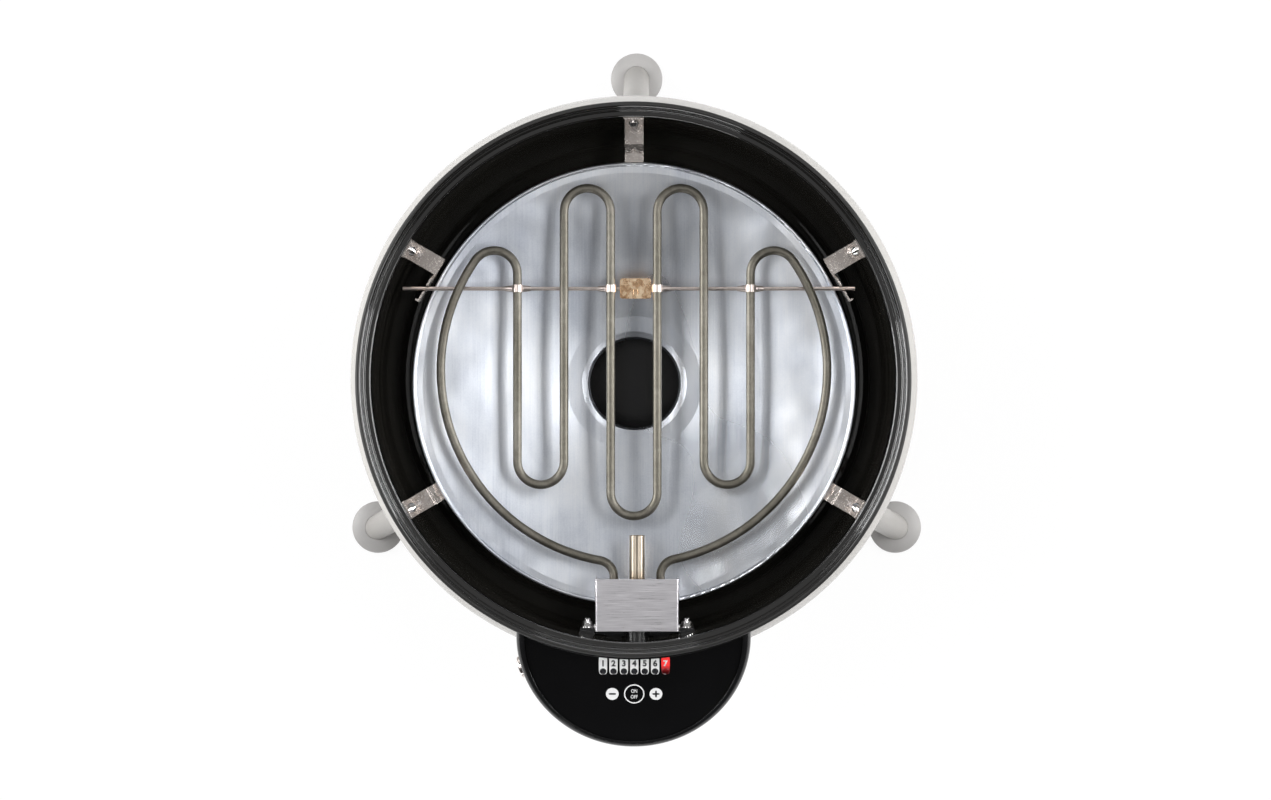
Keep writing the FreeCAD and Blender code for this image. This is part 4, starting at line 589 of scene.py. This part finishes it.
def studio_floor():
    """A wide sheet whose own white shows to the camera and in reflections, and still takes soft shadows."""
    mesh = bpy.data.meshes.new("studio_floor")
    corners = [(FLOOR_HALF * x, FLOOR_HALF * y, 0) for x, y in ((-1, -1), (1, -1), (1, 1), (-1, 1))]
    mesh.from_pydata(corners, [], [(0, 1, 2, 3)])
    material = finish("studio_paper", (PAPER_WHITE, PAPER_WHITE, PAPER_WHITE), 0.9)
    links = material.node_tree.links
    light_path = add_node(material, "ShaderNodeLightPath")
    seen = combine(material, "MAXIMUM", light_path.outputs["Is Camera Ray"],
                   combine(material, "MULTIPLY", light_path.outputs["Is Glossy Ray"], GLOSSY_SHARE))
    seen = combine(material, "MAXIMUM", seen, light_path.outputs["Is Transmission Ray"])
    paper = add_node(material, "ShaderNodeEmission", Color=(1, 1, 1, 1), Strength=1.0)
    mix = add_node(material, "ShaderNodeMixShader")
    links.new(combine(material, "MULTIPLY", seen, PAPER_WHITE), mix.inputs["Fac"])
    links.new(shader_of(material).outputs["BSDF"], mix.inputs[1])
    links.new(paper.outputs["Emission"], mix.inputs[2])
    links.new(mix.outputs["Shader"], material.node_tree.nodes["Material Output"].inputs["Surface"])
    mesh.materials.append(material)
    floor = bpy.data.objects.new("studio_floor", mesh)
    bpy.context.scene.collection.objects.link(floor)


def studio_sky():
    """White to the camera. Otherwise dark in front, where the glass leans, and brighter straight overhead."""
    world = bpy.data.worlds.new("studio")
    bpy.context.scene.world = world
    world.use_nodes = True
    world.node_tree.nodes.clear()
    links = world.node_tree.links
    coords = add_node(world, "ShaderNodeTexCoord")
    split = add_node(world, "ShaderNodeSeparateXYZ")
    links.new(coords.outputs["Generated"], split.inputs["Vector"])
    front = spread(world, split.outputs["Y"], 0.10, 0.58, -0.42, -0.10, interpolation_type="SMOOTHSTEP")
    overhead = spread(world, split.outputs["Z"], 0.55, 0.66, 0.87, 0.985, interpolation_type="SMOOTHSTEP")
    studio = add_node(world, "ShaderNodeBackground")
    links.new(combine(world, "MULTIPLY", front, overhead), studio.inputs["Strength"])
    backdrop = add_node(world, "ShaderNodeBackground", Color=(1, 1, 1, 1))
    light_path = add_node(world, "ShaderNodeLightPath")
    mix = add_node(world, "ShaderNodeMixShader")
    output = add_node(world, "ShaderNodeOutputWorld")
    links.new(light_path.outputs["Is Camera Ray"], mix.inputs["Fac"])
    links.new(studio.outputs["Background"], mix.inputs[1])
    links.new(backdrop.outputs["Background"], mix.inputs[2])
    links.new(mix.outputs["Shader"], output.inputs["Surface"])


def soft_box(name, place_at, width, depth, power):
    """An oblong lamp that faces its aim, width across and depth along its slope, power in watts."""
    lamp = bpy.data.lights.new(name, "AREA")
    lamp.shape = "RECTANGLE"
    lamp.size = width
    lamp.size_y = depth
    lamp.energy = power
    box = bpy.data.objects.new(name, lamp)
    bpy.context.scene.collection.objects.link(box)
    toward = np.array(LAMP_AIM) - np.array(place_at)
    toward = toward / np.linalg.norm(toward)
    box.location = place_at
    box.rotation_euler = (math.acos(-toward[2]), 0.0, math.atan2(-toward[0], toward[1]))


def photo_camera():
    """Straight above the bowl, slightly right of its axis and behind it, at the photograph's scale."""
    camera = bpy.data.cameras.new("photo_camera")
    camera.sensor_width = SENSOR_MM
    camera.lens = FOCAL_PX / PHOTO_W * camera.sensor_width
    camera.shift_x = (PHOTO_W / 2 - AXIS_PX[0]) / PHOTO_W
    camera.shift_y = (AXIS_PX[1] - PHOTO_H / 2) / PHOTO_W
    eye = bpy.data.objects.new("photo_camera", camera)
    eye.location = CAMERA_AT
    bpy.context.scene.collection.objects.link(eye)
    bpy.context.scene.camera = eye


rim_skin()
legend()
studio_floor()
studio_sky()
soft_box("left_box", (-1.9, 0.35, 0.95), 1.6, 0.50, 44.0)
soft_box("right_box", (1.9, 0.25, 0.95), 1.6, 0.50, 36.0)
soft_box("left_top_box", (-0.95, 0.10, 2.1), 1.3, 0.45, 9.0)
soft_box("right_top_box", (0.95, 0.05, 2.1), 1.3, 0.45, 12.0)
soft_box("rear_box", (0.1, 1.9, 1.6), 1.2, 0.4, 6.0)
soft_box("front_box", (-0.4, -2.1, 0.7), 1.0, 0.5, 10.0)
photo_camera()
bpy.context.scene.view_settings.view_transform = "Standard"
